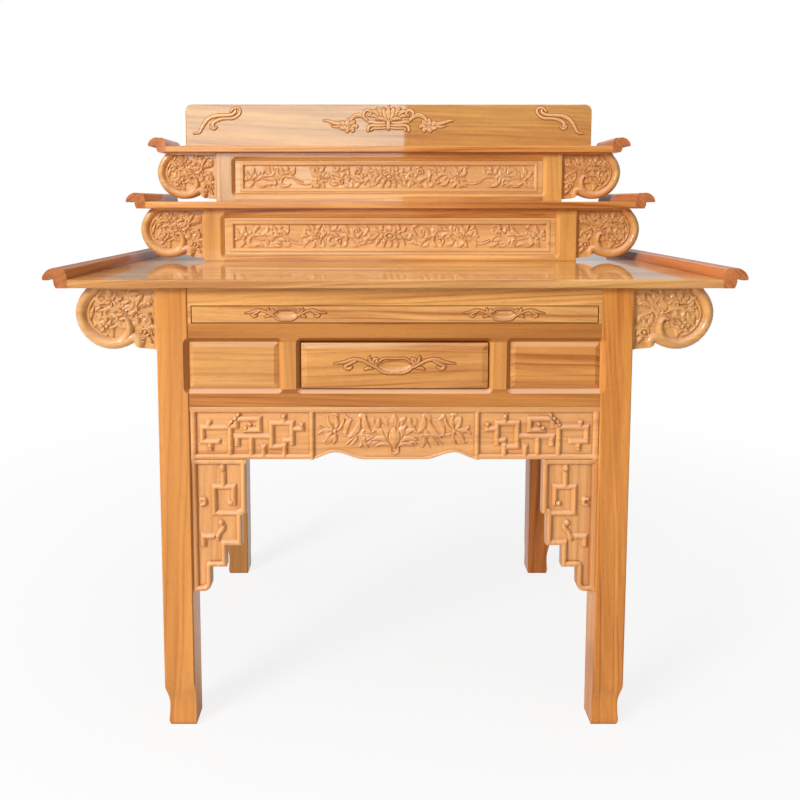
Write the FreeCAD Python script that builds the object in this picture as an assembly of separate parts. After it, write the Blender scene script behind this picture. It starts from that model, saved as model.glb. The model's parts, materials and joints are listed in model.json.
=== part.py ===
# Tiered altar table: a leg frame with a drawer and a pull-out shelf, two stepped tiers and a back board.
# Millimetres, +X to the right, +Y to the back, +Z up, origin on the floor under the middle of the main top.
import FreeCAD
import Part
import math
import os

V = FreeCAD.Vector

# Boards
top_width = 1270.0              # main top, across the noses of its end rims
top_depth = 700.0
top_height = 865.0              # floor to the main top's surface
board_thickness = 16.0          # main top and both shelves
board_edge_round = 3.0
top_reach = 47.0                # nose of each board's rim beyond the tips of the wings below it
lower_shelf_reach = 24.0
upper_shelf_reach = 14.0
shelf_overhang = 22.0           # shelf's front edge ahead of its tier

# End rims of the boards
rim_reach = 44.5                # joint with the board to the tip of the nose
rim_rise = 20.5                 # crest above the board
rim_crest_start = 4.0           # joint to the inner edge of the crest
rim_crest_run = 10.0            # inner edge of the crest to its shoulder
rim_crest_end = 26.0            # joint to the outer edge of the crest
rim_crest_slope = 4.0           # inner edge of the crest below its outer edge
rim_crest_shoulder = 1.0        # shoulder of the crest below its outer edge
rim_inner_bow = 0.06
rim_shoulder_bow = 0.16
rim_crest_bow = 0.03
rim_back_bow = 0.14
nose_bow = 0.25
cove_bow = -0.45
rim_foot_bow = 0.08
rim_body = 20.0                 # width at the underside of the board
rim_cove = 10.0                 # width of the cove under the nose
nose_height = 3.0               # tip of the nose above the board
nose_drop = 1.5                 # underside of the nose below the board's surface
rim_tongue_length = 10.0
rim_tongue_thickness = 6.0
rim_tongue_stop = 12.0          # tongue's ends back from the board's edges

# Leg frame
front_overhang = 20.0           # main top ahead of the legs
back_overhang = 16.0
leg_side = 58.0
leg_round = 3.0
foot_height = 92.0              # top of the cut-in foot
foot_neck_height = 42.0         # narrowest place of the foot
foot_cut = 8.0
foot_bow = 0.036                # bow of the ankle's two arcs
toe_height = 14.0               # fullest place of the toe
toe_out = 1.6                   # toe beyond the narrowest place
toe_tuck = 1.0                  # sole behind the narrowest place
instep_bow = 0.014
toe_bow = 0.075
leg_peg_side = 22.0
leg_peg_height = 8.0
rail_setback = 1.5              # rails behind the faces of the legs
rail_thickness = 34.0
top_rail_height = 34.0
shelf_opening_height = 33.0
shelf_cheek_width = 6.0         # top rail's ends, which reach down beside the shelf front
middle_rail_height = 35.0
panel_row_height = 88.0
lower_rail_height = 33.0
stile_width = 40.0
drawer_opening_width = 348.0

# Moulded edges round the openings
frame_flare = 8.0
frame_flare_depth = 8.0
tier_flare = 9.0
tier_flare_depth = 7.0
flare_corner = 3.5              # corner radius at the bottom of the flare

# Joinery
fit_gap = 0.1                   # all round tenons, tongues and pegs
tenon_length = 24.0
tenon_thickness = 10.0
tenon_shoulder = 5.0
stile_tenon_length = 12.0
tongue_thickness = 8.0
groove_depth = 8.0
dowel_diameter = 8.0
dowel_length = 24.0
dowel_in_board = 7.0            # dowel's depth in a board's face
dowel_in_post = 10.0            # wing dowel's depth in a leg or post
dowel_end_gap = 0.5

# Raised panels of the leg frame
panel_face_setback = 4.0        # raised field behind the face of the rails
panel_bevel = 9.0
panel_bevel_depth = 4.0
panel_tongue_setback = 13.0

# Apron and corner brackets
apron_height = 101.0
apron_thickness = 20.0
apron_setback = 3.0             # behind the face of the rails
apron_tongue_height = 7.0
apron_border = 11.0             # plain border round the carved fields
apron_recess = 4.0
apron_divider_position = 154.0  # middle of each divider, from the middle of the table
apron_divider_width = 9.0
hump_height = 13.0
hump_start = 59.0               # inner and outer foot of each hump, from the middle of the table
hump_end = 152.0
hump_shoulder = 0.28            # where the hump turns over, as a share of its span
hump_shoulder_height = 0.55     # and as a share of its height
hump_foot_bow = -0.1
hump_crown_bow = 0.12
bracket_thickness = 18.0
bracket_setback = 5.0
bracket_widths = [102.0, 93.0, 63.5, 34.0]
bracket_heights = [105.0, 62.0, 41.5, 48.5]
bracket_toe_round = 16.0
bracket_border = 8.0
bracket_recess = 4.0

# Scroll wings beside the legs and the tier posts
wing_length = 150.0
wing_height = 117.0
wing_thickness = 26.0
wing_setback = 5.0              # behind the face of the leg or post
wing_corner = 26.0              # straight top edge ends this far from the widest place
wing_widest = 50.0              # widest place below the top edge
wing_low_out = 92.0             # lowest place of the scroll, from the post
wing_low_rise = 1.5             # scroll's lowest place above the wing's foot
wing_cusp_out = 43.5
wing_cusp_rise = 13.0           # cusp above the wing's foot
wing_foot_out = 20.0
wing_corner_bow = 0.115
wing_scroll_bow = 0.18
wing_belly_bow = 0.09
wing_foot_bow = 0.115
wing_rim = 18.0                 # raised rim round the carved field
wing_recess = 6.0
wing_dowel_drops = [30.0, 85.0]

# Pull-out shelf
slide_gap = 1.5                 # round the drawer and the pull-out shelf in their openings
slide_front_thickness = 22.0
slide_front_setback = 1.0       # behind the face of the rails
pull_shelf_thickness = 14.0
pull_shelf_drop = 4.0           # underside of the shelf above the middle rail
pull_shelf_back_gap = 49.0      # behind it to the back rails
pull_shelf_tongue = 7.0
pull_shelf_travel = 320.0
shelf_runner_width = 30.0
shelf_runner_groove = 12.0
runner_gap = 0.5
shelf_pin_position = 150.0      # stop pins from the middle of the table
stop_pin_out = 11.0             # stop pin's free length
pin_clearance = 1.2
pin_slot_gap = 1.0
shelf_pull_position = 200.0     # finger pulls from the middle of the table
shelf_pull_width = 44.0
shelf_pull_height = 18.0
pull_depth = 11.0
pull_undercut = 0.3             # rise of the pull's pocket per unit of its depth

# Drawer
drawer_bevel = 11.0
drawer_bevel_depth = 3.0
drawer_pull_width = 64.0
drawer_pull_height = 24.0
drawer_side_thickness = 12.0
drawer_side_inset = 13.0        # sides in from the ends of the drawer front
drawer_side_drop = 11.0         # top of the sides below the top of the opening
drawer_side_rise = 3.5          # underside of the sides above that of the front
drawer_side_length = 430.0
drawer_front_dado = 6.0
drawer_back_thickness = 12.0
drawer_dado = 4.0
drawer_bottom_thickness = 6.0
drawer_bottom_rise = 3.0        # drawer bottom above the underside of the sides
drawer_travel = 310.0
drawer_pin_position = 100.0
drawer_runner_wall = 24.0
drawer_runner_ledge = 14.0      # ledge under and over the drawer side
drawer_runner_drop = 24.0       # runner's underside below the drawer opening
runner_tenon_length = 10.0

# Tiers
lower_tier_depth = 259.0        # face of the tier to the back of the frame
upper_tier_depth = 110.0
lower_wing_gap = 7.0            # tier's wings above the board below them
upper_wing_gap = 6.0
lower_tier_bottom_rail = 15.0
lower_tier_top_rail = 22.0
upper_tier_bottom_rail = 22.0
upper_tier_top_rail = 20.0
post_width = 48.0
post_depth = 40.0
post_round = 2.0
tier_rail_thickness = 26.0
tier_tenon_shoulder = 3.0
tier_panel_setback = 6.0
tier_panel_thickness = 16.0
tier_panel_border = 20.0        # plain border at the ends of the carved field
lower_panel_border = 14.5       # and above and below it
upper_panel_border = 10.5
tier_field_recess = 5.0
tier_field_slope = 3.0
tier_side_thickness = 18.0
tier_side_inset = 4.0
side_dowel_inset = 18.0

# Back board
back_board_end_inset = 71.0     # ends in from the noses of the upper shelf
back_board_height = 114.0
back_board_thickness = 18.0
back_board_inset = 32.0         # behind it to the shelf's back edge
back_board_corner = 18.0
back_board_round = 2.5
back_board_dowel_positions = [140.0, 420.0]

# Derived places
quarter_bow = math.tan(math.pi / 8) / 2
board_front = -top_depth / 2
board_back = top_depth / 2
frame_front = board_front + front_overhang
frame_back = board_back - back_overhang
frame_top = top_height - board_thickness
leg_outer = top_width / 2 - top_reach - wing_length
leg_inner = leg_outer - leg_side
rail_front = frame_front + rail_setback
rail_inside = rail_front + rail_thickness
back_rail_inside = frame_back - rail_setback - rail_thickness
shelf_opening_top = frame_top - top_rail_height
middle_rail_top = shelf_opening_top - shelf_opening_height
panel_row_top = middle_rail_top - middle_rail_height
panel_row_bottom = panel_row_top - panel_row_height
apron_top = panel_row_bottom - lower_rail_height
apron_bottom = apron_top - apron_height
drawer_half = drawer_opening_width / 2
stile_outer = drawer_half + stile_width
slide_front = rail_front + slide_front_setback
slide_back = slide_front + slide_front_thickness
dowel_radius = dowel_diameter / 2
pin_y = slide_back + pin_clearance + dowel_radius
post_outer = leg_outer
post_inner = post_outer - post_width
lower_tier_front = frame_back - lower_tier_depth
upper_tier_front = frame_back - upper_tier_depth
lower_tier_height = wing_height + lower_wing_gap
upper_tier_height = wing_height + upper_wing_gap
lower_shelf_width = 2 * (post_outer + wing_length + lower_shelf_reach)
upper_shelf_width = 2 * (post_outer + wing_length + upper_shelf_reach)
lower_shelf_top = top_height + lower_tier_height + board_thickness
upper_shelf_top = lower_shelf_top + upper_tier_height + board_thickness

nodes = {}
dowels = []


def block(x0, x1, y0, y1, z0, z1):
    return Part.makeBox(x1 - x0, y1 - y0, z1 - z0, V(x0, y0, z0))


def grown(span, gap):
    x0, x1, y0, y1, z0, z1 = span
    return block(x0 - gap, x1 + gap, y0 - gap, y1 + gap, z0 - gap, z1 + gap)


def mirrored(shape):
    return shape.mirror(V(0, 0, 0), V(1, 0, 0))


def both_sides(shapes):
    return shapes + [mirrored(shape) for shape in shapes]


def add_pair(pattern, right_shape):
    """Adds a right-hand piece and its mirror image."""
    nodes[pattern % "right"] = right_shape
    nodes[pattern % "left"] = mirrored(right_shape)


def bowed_wire(points, y):
    """Closed wire in an XZ plane; each point is x, z and the bow of the edge that leaves it."""
    edges = []
    for index, (x, z, bow) in enumerate(points):
        next_x, next_z, next_bow = points[(index + 1) % len(points)]
        start = V(x, y, z)
        end = V(next_x, y, next_z)
        if bow == 0:
            edges.append(Part.LineSegment(start, end).toShape())
        else:
            across = V(z - next_z, 0, next_x - x)
            middle = (start + end) * 0.5 + across * bow
            edges.append(Part.Arc(start, middle, end).toShape())
    return Part.Wire(edges)


def bowed_plate(points, y0, y1):
    return Part.Face(bowed_wire(points, y0)).extrude(V(0, y1 - y0, 0))


def rounded_rectangle(x0, x1, z0, z1, radius, y):
    points = [
        (x0 + radius, z0, 0), (x1 - radius, z0, quarter_bow * -1),
        (x1, z0 + radius, 0), (x1, z1 - radius, quarter_bow * -1),
        (x1 - radius, z1, 0), (x0 + radius, z1, quarter_bow * -1),
        (x0, z1 - radius, 0), (x0, z0 + radius, quarter_bow * -1),
    ]
    return bowed_wire(points, y)


def sloped_block(x0, x1, z0, z1, front, back, spread):
    """Block whose front is smaller all round than its back by spread (larger where spread is negative)."""
    small = [(x0 + spread, z0 + spread, 0), (x1 - spread, z0 + spread, 0),
             (x1 - spread, z1 - spread, 0), (x0 + spread, z1 - spread, 0)]
    large = [(x0, z0, 0), (x1, z0, 0), (x1, z1, 0), (x0, z1, 0)]
    return Part.makeLoft([bowed_wire(small, front), bowed_wire(large, back)], True, True)


def flare(x0, x1, z0, z1, front, width, depth, ahead=0.0):
    """Cutter for the moulded edge round an opening, with rounded corners; it starts ahead of the front."""
    reach = width * (depth + ahead) / depth
    outer = rounded_rectangle(x0 - reach, x1 + reach, z0 - reach, z1 + reach, flare_corner + reach,
                              front - ahead)
    inner = rounded_rectangle(x0, x1, z0, z1, flare_corner, front + depth)
    return Part.makeLoft([outer, inner], True, True)


def runs_along(edge, axis):
    if not isinstance(edge.Curve, Part.Line):
        return False
    return abs(edge.Curve.Direction.dot(axis)) > 0.999


def eased(shape, radius, wanted):
    return shape.makeFillet(radius, [edge for edge in shape.Edges if wanted(edge)])


def rod(centre, direction, length, radius):
    """Cylinder centred on a point."""
    return Part.makeCylinder(radius, length, centre - direction * (length / 2), direction)


def add_dowel(seat, direction, depth):
    """Adds a dowel that goes depth into the seat's face, and returns the hole that it needs."""
    centre = seat + direction * (depth - dowel_length / 2)
    dowels.append(rod(centre, direction, dowel_length, dowel_radius))
    return rod(centre, direction, dowel_length + 2 * dowel_end_gap, dowel_radius + fit_gap / 2)


def end_tenon(x0, x1, front, thickness, z0, z1, shoulder):
    """Span of a tenon in the middle of a rail's thickness."""
    middle = front + thickness / 2
    half = tenon_thickness / 2
    return (x0, x1, middle - half, middle + half, z0 + shoulder, z1 - shoulder)


def turned_side(shape):
    """Turns what faces the front to face the right."""
    copy = shape.copy()
    copy.rotate(V(0, 0, 0), V(0, 0, 1), 90)
    return copy


def turned_back(shape):
    copy = shape.copy()
    copy.rotate(V(0, 0, 0), V(0, 0, 1), 180)
    return copy


def raised_panel(x0, x1, z0, z1, face):
    """Raised panel behind the face of a frame's opening, and the groove that holds its edges."""
    field_front = face + panel_face_setback
    tongue_front = face + panel_tongue_setback
    tongue = (x0 - groove_depth, x1 + groove_depth, tongue_front, tongue_front + tongue_thickness,
              z0 - groove_depth, z1 + groove_depth)
    bevel_back = field_front + panel_bevel_depth
    bevel = sloped_block(x0 + fit_gap, x1 - fit_gap, z0 + fit_gap, z1 - fit_gap,
                         field_front, bevel_back, panel_bevel)
    body = block(x0 + fit_gap, x1 - fit_gap, bevel_back, tongue_front, z0 + fit_gap, z1 - fit_gap)
    return bevel.fuse([body, block(*tongue)]).removeSplitter(), grown(tongue, fit_gap)


def pull_pocket(x, z, width, height):
    """Finger pull: an oval pocket that rises behind its upper edge."""
    mouth = rounded_rectangle(x - width / 2, x + width / 2, z - height / 2, z + height / 2,
                              height / 2 - fit_gap, slide_front)
    return Part.Face(mouth).extrude(V(0, pull_depth, pull_depth * pull_undercut))


def foot_cutter():
    """Cut outside a right leg's outer face, from the ankle to the floor."""
    neck = leg_outer - foot_cut
    clear = leg_outer + foot_cut
    halfway = (foot_height + foot_neck_height) / 2
    points = [
        (leg_outer, foot_height, foot_bow), (leg_outer - foot_cut / 2, halfway, -foot_bow),
        (neck, foot_neck_height, -instep_bow), (neck + toe_out, toe_height, toe_bow),
        (neck - toe_tuck, 0, 0), (clear, 0, 0), (clear, foot_height, 0),
    ]
    return bowed_plate(points, frame_front - leg_side, frame_back + leg_side)


def leg_foot_cuts(at_front):
    """The same cut on a leg's outer face and on its front or back face."""
    side = foot_cutter()
    end = foot_cutter()
    end.rotate(V(0, 0, 0), V(0, 0, 1), -90 if at_front else 90)
    travel = frame_front + leg_outer if at_front else frame_back - leg_outer
    end.translate(V(leg_outer, travel, 0))
    return [side, end]


def corner_leg(at_front, cuts):
    y0 = frame_front if at_front else frame_back - leg_side
    y1 = y0 + leg_side
    post = eased(block(leg_inner, leg_outer, y0, y1, 0, frame_top), leg_round,
                 lambda edge: runs_along(edge, V(0, 0, 1)))
    return post.fuse(block(*leg_peg(y0))).cut(leg_foot_cuts(at_front) + cuts)


def leg_peg(y0):
    """Span of the stub peg on a right leg that starts at y0."""
    inset = (leg_side - leg_peg_side) / 2
    return (leg_inner + inset, leg_outer - inset, y0 + inset, y0 + leg_side - inset,
            frame_top, frame_top + leg_peg_height)


def cross_rail(front, z0, z1):
    """Rail between the left and right legs, with the span of its right tenon."""
    tenon = end_tenon(leg_inner, leg_inner + tenon_length, front, rail_thickness, z0, z1, tenon_shoulder)
    right = block(*tenon)
    body = block(-leg_inner, leg_inner, front, front + rail_thickness, z0, z1)
    return body.fuse([right, mirrored(right)]).removeSplitter(), grown(tenon, fit_gap)


def side_rail(z0, z1):
    """Right-hand rail between the front and back legs, with its two mortises."""
    x1 = leg_outer - rail_setback
    x0 = x1 - rail_thickness
    middle = (x0 + x1) / 2
    half = tenon_thickness / 2
    y0 = frame_front + leg_side
    y1 = frame_back - leg_side
    across = (middle - half, middle + half)
    heights = (z0 + tenon_shoulder, z1 - tenon_shoulder)
    front_tenon = across + (y0 - tenon_length, y0) + heights
    back_tenon = across + (y1, y1 + tenon_length) + heights
    body = block(x0, x1, y0, y1, z0, z1)
    rail = body.fuse([block(*front_tenon), block(*back_tenon)]).removeSplitter()
    return rail, grown(front_tenon, fit_gap), grown(back_tenon, fit_gap)


def wing_outline(post, top):
    """Scroll wing on the outer side of a right post, from its top edge clockwise seen from the front."""
    return [
        (post, top, 0),
        (post + wing_length - wing_corner, top, wing_corner_bow),
        (post + wing_length, top - wing_widest, wing_scroll_bow),
        (post + wing_low_out, top - wing_height + wing_low_rise, wing_belly_bow),
        (post + wing_cusp_out, top - wing_height + wing_cusp_rise, wing_foot_bow),
        (post + wing_foot_out, top - wing_height + wing_low_rise, 0),
        (post, top - wing_height, 0),
    ]


def add_wing(name, post, front, top):
    """Adds a pair of wings to the outer faces of two posts, and returns the right post's dowel holes."""
    y0 = front + wing_setback
    y1 = y0 + wing_thickness
    outline = wing_outline(post, top)
    field = Part.Face(bowed_wire(outline, y0)).makeOffset2D(-wing_rim)
    holes = []
    for drop in wing_dowel_drops:
        seat = V(post, (y0 + y1) / 2, top - drop)
        holes.append(add_dowel(seat, V(-1, 0, 0), dowel_in_post))
    wing = bowed_plate(outline, y0, y1).cut([field.extrude(V(0, wing_recess, 0))] + holes)
    dowels.extend([mirrored(dowel) for dowel in dowels[-len(holes):]])
    add_pair(name, wing)
    return holes


def rim_profile(joint, surface):
    """Moulded end of a board: steep inner face, sloping crest, overhanging nose and a cove below it."""
    under = surface - board_thickness
    cove_end = rim_reach - rim_cove
    return [
        (joint, under, 0),
        (joint, surface, rim_inner_bow),
        (joint + rim_crest_start, surface + rim_rise - rim_crest_slope, rim_shoulder_bow),
        (joint + rim_crest_start + rim_crest_run, surface + rim_rise - rim_crest_shoulder, rim_crest_bow),
        (joint + rim_crest_end, surface + rim_rise, rim_back_bow),
        (joint + rim_reach, surface + nose_height, nose_bow),
        (joint + rim_reach - nose_height, surface - nose_drop, 0),
        (joint + cove_end, surface - nose_drop, cove_bow),
        (joint + cove_end - rim_cove, surface - nose_drop, rim_foot_bow),
        (joint + rim_body, under, 0),
    ]


def add_board(name, width, front, surface, cuts):
    """Adds a board with its two moulded end rims, tongued together."""
    joint = width / 2 - rim_reach
    under = surface - board_thickness
    plain = block(-joint, joint, front, board_back, under, surface)
    plain = eased(plain, board_edge_round,
                  lambda edge: (runs_along(edge, V(1, 0, 0))
                                and edge.CenterOfMass.y < front + board_edge_round))
    middle = (under + surface) / 2
    half = rim_tongue_thickness / 2
    tongue = (joint, joint + rim_tongue_length, front + rim_tongue_stop, board_back - rim_tongue_stop,
              middle - half, middle + half)
    right = block(*tongue)
    nodes[name + "_board"] = plain.fuse([right, mirrored(right)]).cut(cuts)
    rim = bowed_plate(rim_profile(joint, surface), front, board_back)
    add_pair(name + "_%s_rim", rim.cut(grown(tongue, fit_gap)))


def add_front(runner_mortises):
    """Adds the front of the leg frame and returns what it cuts from the right front leg."""
    top, top_mortise = cross_rail(rail_front, shelf_opening_top, frame_top)
    cheek = block(leg_inner - shelf_cheek_width, leg_inner, rail_front, rail_inside,
                  middle_rail_top, shelf_opening_top)
    middle, middle_mortise = cross_rail(rail_front, panel_row_top, middle_rail_top)
    lower, lower_mortise = cross_rail(rail_front, apron_top, panel_row_bottom)
    panel, groove = raised_panel(stile_outer, leg_inner, panel_row_bottom, panel_row_top, rail_front)
    panel_flare = flare(stile_outer, leg_inner, panel_row_bottom, panel_row_top,
                        rail_front, frame_flare, frame_flare_depth, rail_setback)
    drawer_flare = flare(-drawer_half, drawer_half, panel_row_bottom, panel_row_top,
                         rail_front, frame_flare, frame_flare_depth, rail_setback)
    row_cuts = [drawer_flare] + both_sides([panel_flare, groove])

    tenon_y = rail_front + rail_thickness / 2
    tenon = (drawer_half + tenon_shoulder, stile_outer - tenon_shoulder,
             tenon_y - tenon_thickness / 2, tenon_y + tenon_thickness / 2,
             panel_row_bottom - stile_tenon_length, panel_row_top + stile_tenon_length)
    stile = block(drawer_half, stile_outer, rail_front, rail_inside, panel_row_bottom, panel_row_top)
    stile = stile.fuse(block(*tenon)).cut(row_cuts)
    stile_mortises = both_sides([grown(tenon, fit_gap)])

    pin_holes = []
    for x in (-shelf_pin_position, shelf_pin_position):
        seat = V(x, pin_y, middle_rail_top)
        pin_holes.append(add_dowel(seat, V(0, 0, -1), dowel_length - stop_pin_out))
    for x in (-drawer_pin_position, drawer_pin_position):
        seat = V(x, pin_y, panel_row_top)
        pin_holes.append(add_dowel(seat, V(0, 0, 1), dowel_length - stop_pin_out))

    apron_cut, leg_apron_cut = add_apron()
    bracket_cut = add_brackets()
    nodes["front_top_rail"] = top.fuse([cheek, mirrored(cheek)]).removeSplitter()
    nodes["front_middle_rail"] = middle.cut(row_cuts + stile_mortises + pin_holes)
    nodes["front_lower_rail"] = lower.cut(row_cuts + stile_mortises + runner_mortises + [apron_cut])
    add_pair("front_%s_stile", stile)
    add_pair("front_%s_panel", panel)
    return [top_mortise, middle_mortise, lower_mortise, groove, panel_flare, leg_apron_cut, bracket_cut]


def hump(direction):
    """Points of one hump of the apron's lower edge, walked from left to right."""
    first = hump_start if direction > 0 else -hump_end
    span = hump_end - hump_start
    shoulder = span * hump_shoulder
    rise = hump_height * hump_shoulder_height
    return [
        (first, apron_bottom, hump_foot_bow),
        (first + shoulder, apron_bottom + rise, hump_crown_bow),
        (first + span - shoulder, apron_bottom + rise, hump_foot_bow),
        (first + span, apron_bottom, 0),
    ]


def add_apron():
    """Adds the apron and returns its groove in the lower rail and its mortise in the right front leg."""
    y0 = rail_front + apron_setback
    y1 = y0 + apron_thickness
    points = [(-leg_inner, apron_bottom, 0)] + hump(-1) + hump(1)
    points += [(leg_inner, apron_bottom, 0), (leg_inner, apron_top, 0), (-leg_inner, apron_top, 0)]
    tongue_y = (y0 + y1 - tongue_thickness) / 2
    top_tongue = (-leg_inner + leg_side, leg_inner - leg_side, tongue_y, tongue_y + tongue_thickness,
                  apron_top, apron_top + apron_tongue_height)
    end_tongue = (leg_inner, leg_inner + groove_depth, tongue_y, tongue_y + tongue_thickness,
                  apron_bottom + tenon_shoulder, apron_top - tenon_shoulder)
    right = block(*end_tongue)
    field_edges = [
        -leg_inner + apron_border,
        -apron_divider_position - apron_divider_width / 2,
        -apron_divider_position + apron_divider_width / 2,
        apron_divider_position - apron_divider_width / 2,
        apron_divider_position + apron_divider_width / 2,
        leg_inner - apron_border,
    ]
    recesses = []
    for x0, x1 in zip(field_edges[0::2], field_edges[1::2]):
        z0 = apron_bottom + apron_border
        if x0 < 0 < x1:
            z0 += hump_height
        recesses.append(block(x0, x1, y0, y0 + apron_recess, z0, apron_top - apron_border))
    body = bowed_plate(points, y0, y1).fuse([block(*top_tongue), right, mirrored(right)])
    nodes["front_apron"] = body.cut(recesses)
    return grown(top_tongue, fit_gap), grown(end_tongue, fit_gap)


def bracket_outline(border):
    """Stepped outline of the right bracket, drawn in by border on every side."""
    top = apron_bottom - border
    level = apron_bottom
    points = [(leg_inner - border, top, 0), (leg_inner - bracket_widths[0] + border, top, 0)]
    for width, next_width, height in zip(bracket_widths, bracket_widths[1:], bracket_heights):
        level -= height
        points.append((leg_inner - width + border, level + border, 0))
        points.append((leg_inner - next_width + border, level + border, 0))
    level -= bracket_heights[-1]
    toe = bracket_toe_round - border
    left = leg_inner - bracket_widths[-1] + border
    points.append((left, level + border + toe, -quarter_bow))
    points.append((left + toe, level + border, 0))
    points.append((leg_inner - border, level + border, 0))
    return points


def add_brackets():
    """Adds the corner brackets and returns the groove in the right front leg."""
    y0 = rail_front + bracket_setback
    y1 = y0 + bracket_thickness
    tongue_y = (y0 + y1 - tongue_thickness) / 2
    tongue = (leg_inner, leg_inner + groove_depth, tongue_y, tongue_y + tongue_thickness,
              apron_bottom - sum(bracket_heights) + bracket_border, apron_bottom - bracket_border)
    recess = bowed_plate(bracket_outline(bracket_border), y0, y0 + bracket_recess)
    add_pair("%s_bracket", bowed_plate(bracket_outline(0), y0, y1).fuse(block(*tongue)).cut(recess))
    return grown(tongue, fit_gap)


def add_drawer_runners():
    """Adds the channel runners of the drawer and returns their mortises in the front and back lower rails."""
    side_outer = drawer_half - slide_gap - drawer_side_inset
    side_low = panel_row_bottom + slide_gap + drawer_side_rise
    side_high = panel_row_top - drawer_side_drop
    x0 = side_outer + runner_gap
    x1 = x0 + drawer_runner_wall
    ledge = side_outer - drawer_side_thickness
    low = panel_row_bottom - drawer_runner_drop
    wall = block(x0, x1, rail_inside, back_rail_inside, low, panel_row_top)
    lower_ledge = block(ledge, x0, rail_inside, back_rail_inside, side_low - drawer_runner_ledge,
                        side_low - runner_gap)
    upper_ledge = block(ledge + drawer_dado + runner_gap, x0, rail_inside, back_rail_inside,
                        side_high + runner_gap, panel_row_top)
    tenon_span = (x0 + tenon_shoulder, x1 - tenon_shoulder)
    front_tenon = tenon_span + (rail_inside - runner_tenon_length, rail_inside,
                                low + tenon_shoulder, panel_row_bottom - tenon_shoulder)
    back_tenon = tenon_span + (back_rail_inside, back_rail_inside + runner_tenon_length,
                               low + tenon_shoulder, panel_row_bottom - tenon_shoulder)
    runner = wall.fuse([lower_ledge, upper_ledge, block(*front_tenon), block(*back_tenon)]).removeSplitter()
    nodes["drawer_runners"] = Part.makeCompound([mirrored(runner), runner])
    return both_sides([grown(front_tenon, fit_gap)]), both_sides([grown(back_tenon, fit_gap)])


def add_sides_and_back(runner_mortises):
    """Adds the side and back frames, and returns what they cut from the right front and back legs."""
    top_rail, top_front, top_back = side_rail(shelf_opening_top, frame_top)
    lower_rail, lower_front, lower_back = side_rail(apron_top, panel_row_bottom)
    panel, groove = raised_panel(frame_front + leg_side, frame_back - leg_side,
                                 panel_row_bottom, shelf_opening_top, rail_setback - leg_outer)
    panel = turned_side(panel)
    groove = turned_side(groove)
    add_pair("%s_side_top_rail", top_rail.cut(groove))
    add_pair("%s_side_lower_rail", lower_rail.cut(groove))
    add_pair("%s_side_panel", panel)

    back_top, back_top_mortise = cross_rail(back_rail_inside, shelf_opening_top, frame_top)
    back_lower, back_lower_mortise = cross_rail(back_rail_inside, apron_top, panel_row_bottom)
    back_panel, back_groove = raised_panel(-leg_inner, leg_inner, panel_row_bottom, shelf_opening_top,
                                           rail_setback - frame_back)
    back_panel = turned_back(back_panel)
    back_groove = turned_back(back_groove)
    nodes["back_top_rail"] = back_top.cut(back_groove)
    nodes["back_lower_rail"] = back_lower.cut(runner_mortises + [back_groove])
    nodes["back_panel"] = back_panel
    front_cuts = [top_front, lower_front, groove]
    back_cuts = [top_back, lower_back, groove, back_groove, back_top_mortise, back_lower_mortise]
    return front_cuts, back_cuts


def add_pull_out_shelf():
    low = middle_rail_top + slide_gap
    high = shelf_opening_top - slide_gap
    half = leg_inner - shelf_cheek_width - slide_gap
    shelf_low = middle_rail_top + pull_shelf_drop
    shelf_high = shelf_low + pull_shelf_thickness
    shelf_back = back_rail_inside - pull_shelf_back_gap
    runner_inner = leg_inner - shelf_runner_width
    groove_end = runner_inner + shelf_runner_groove
    shelf_half = groove_end - runner_gap
    tongue = (-runner_inner, runner_inner, slide_back - pull_shelf_tongue, slide_back, shelf_low, shelf_high)
    board = block(-shelf_half, shelf_half, rail_inside, shelf_back, shelf_low, shelf_high)
    neck = block(-runner_inner, runner_inner, slide_back, rail_inside, shelf_low, shelf_high)
    slots = []
    for x in (-shelf_pin_position, shelf_pin_position):
        reach = dowel_radius + pin_slot_gap
        slots.append(block(x - reach, x + reach, pin_y - reach, pin_y + pull_shelf_travel + reach,
                           shelf_low, middle_rail_top + stop_pin_out + pin_slot_gap))
    nodes["pull_out_shelf_board"] = board.fuse([neck, block(*tongue)]).removeSplitter().cut(slots)

    pulls = []
    for x in (-shelf_pull_position, shelf_pull_position):
        pulls.append(pull_pocket(x, (low + high) / 2, shelf_pull_width, shelf_pull_height))
    front = block(-half, half, slide_front, slide_back, low, high)
    nodes["pull_out_shelf_front"] = front.cut(pulls + [grown(tongue, fit_gap)])

    runner = block(runner_inner, leg_inner, rail_inside, back_rail_inside, middle_rail_top, shelf_opening_top)
    groove = block(runner_inner, groove_end, rail_inside, back_rail_inside,
                   shelf_low - runner_gap, shelf_high + runner_gap)
    runner = runner.cut(groove)
    nodes["shelf_runners"] = Part.makeCompound([mirrored(runner), runner])


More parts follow.
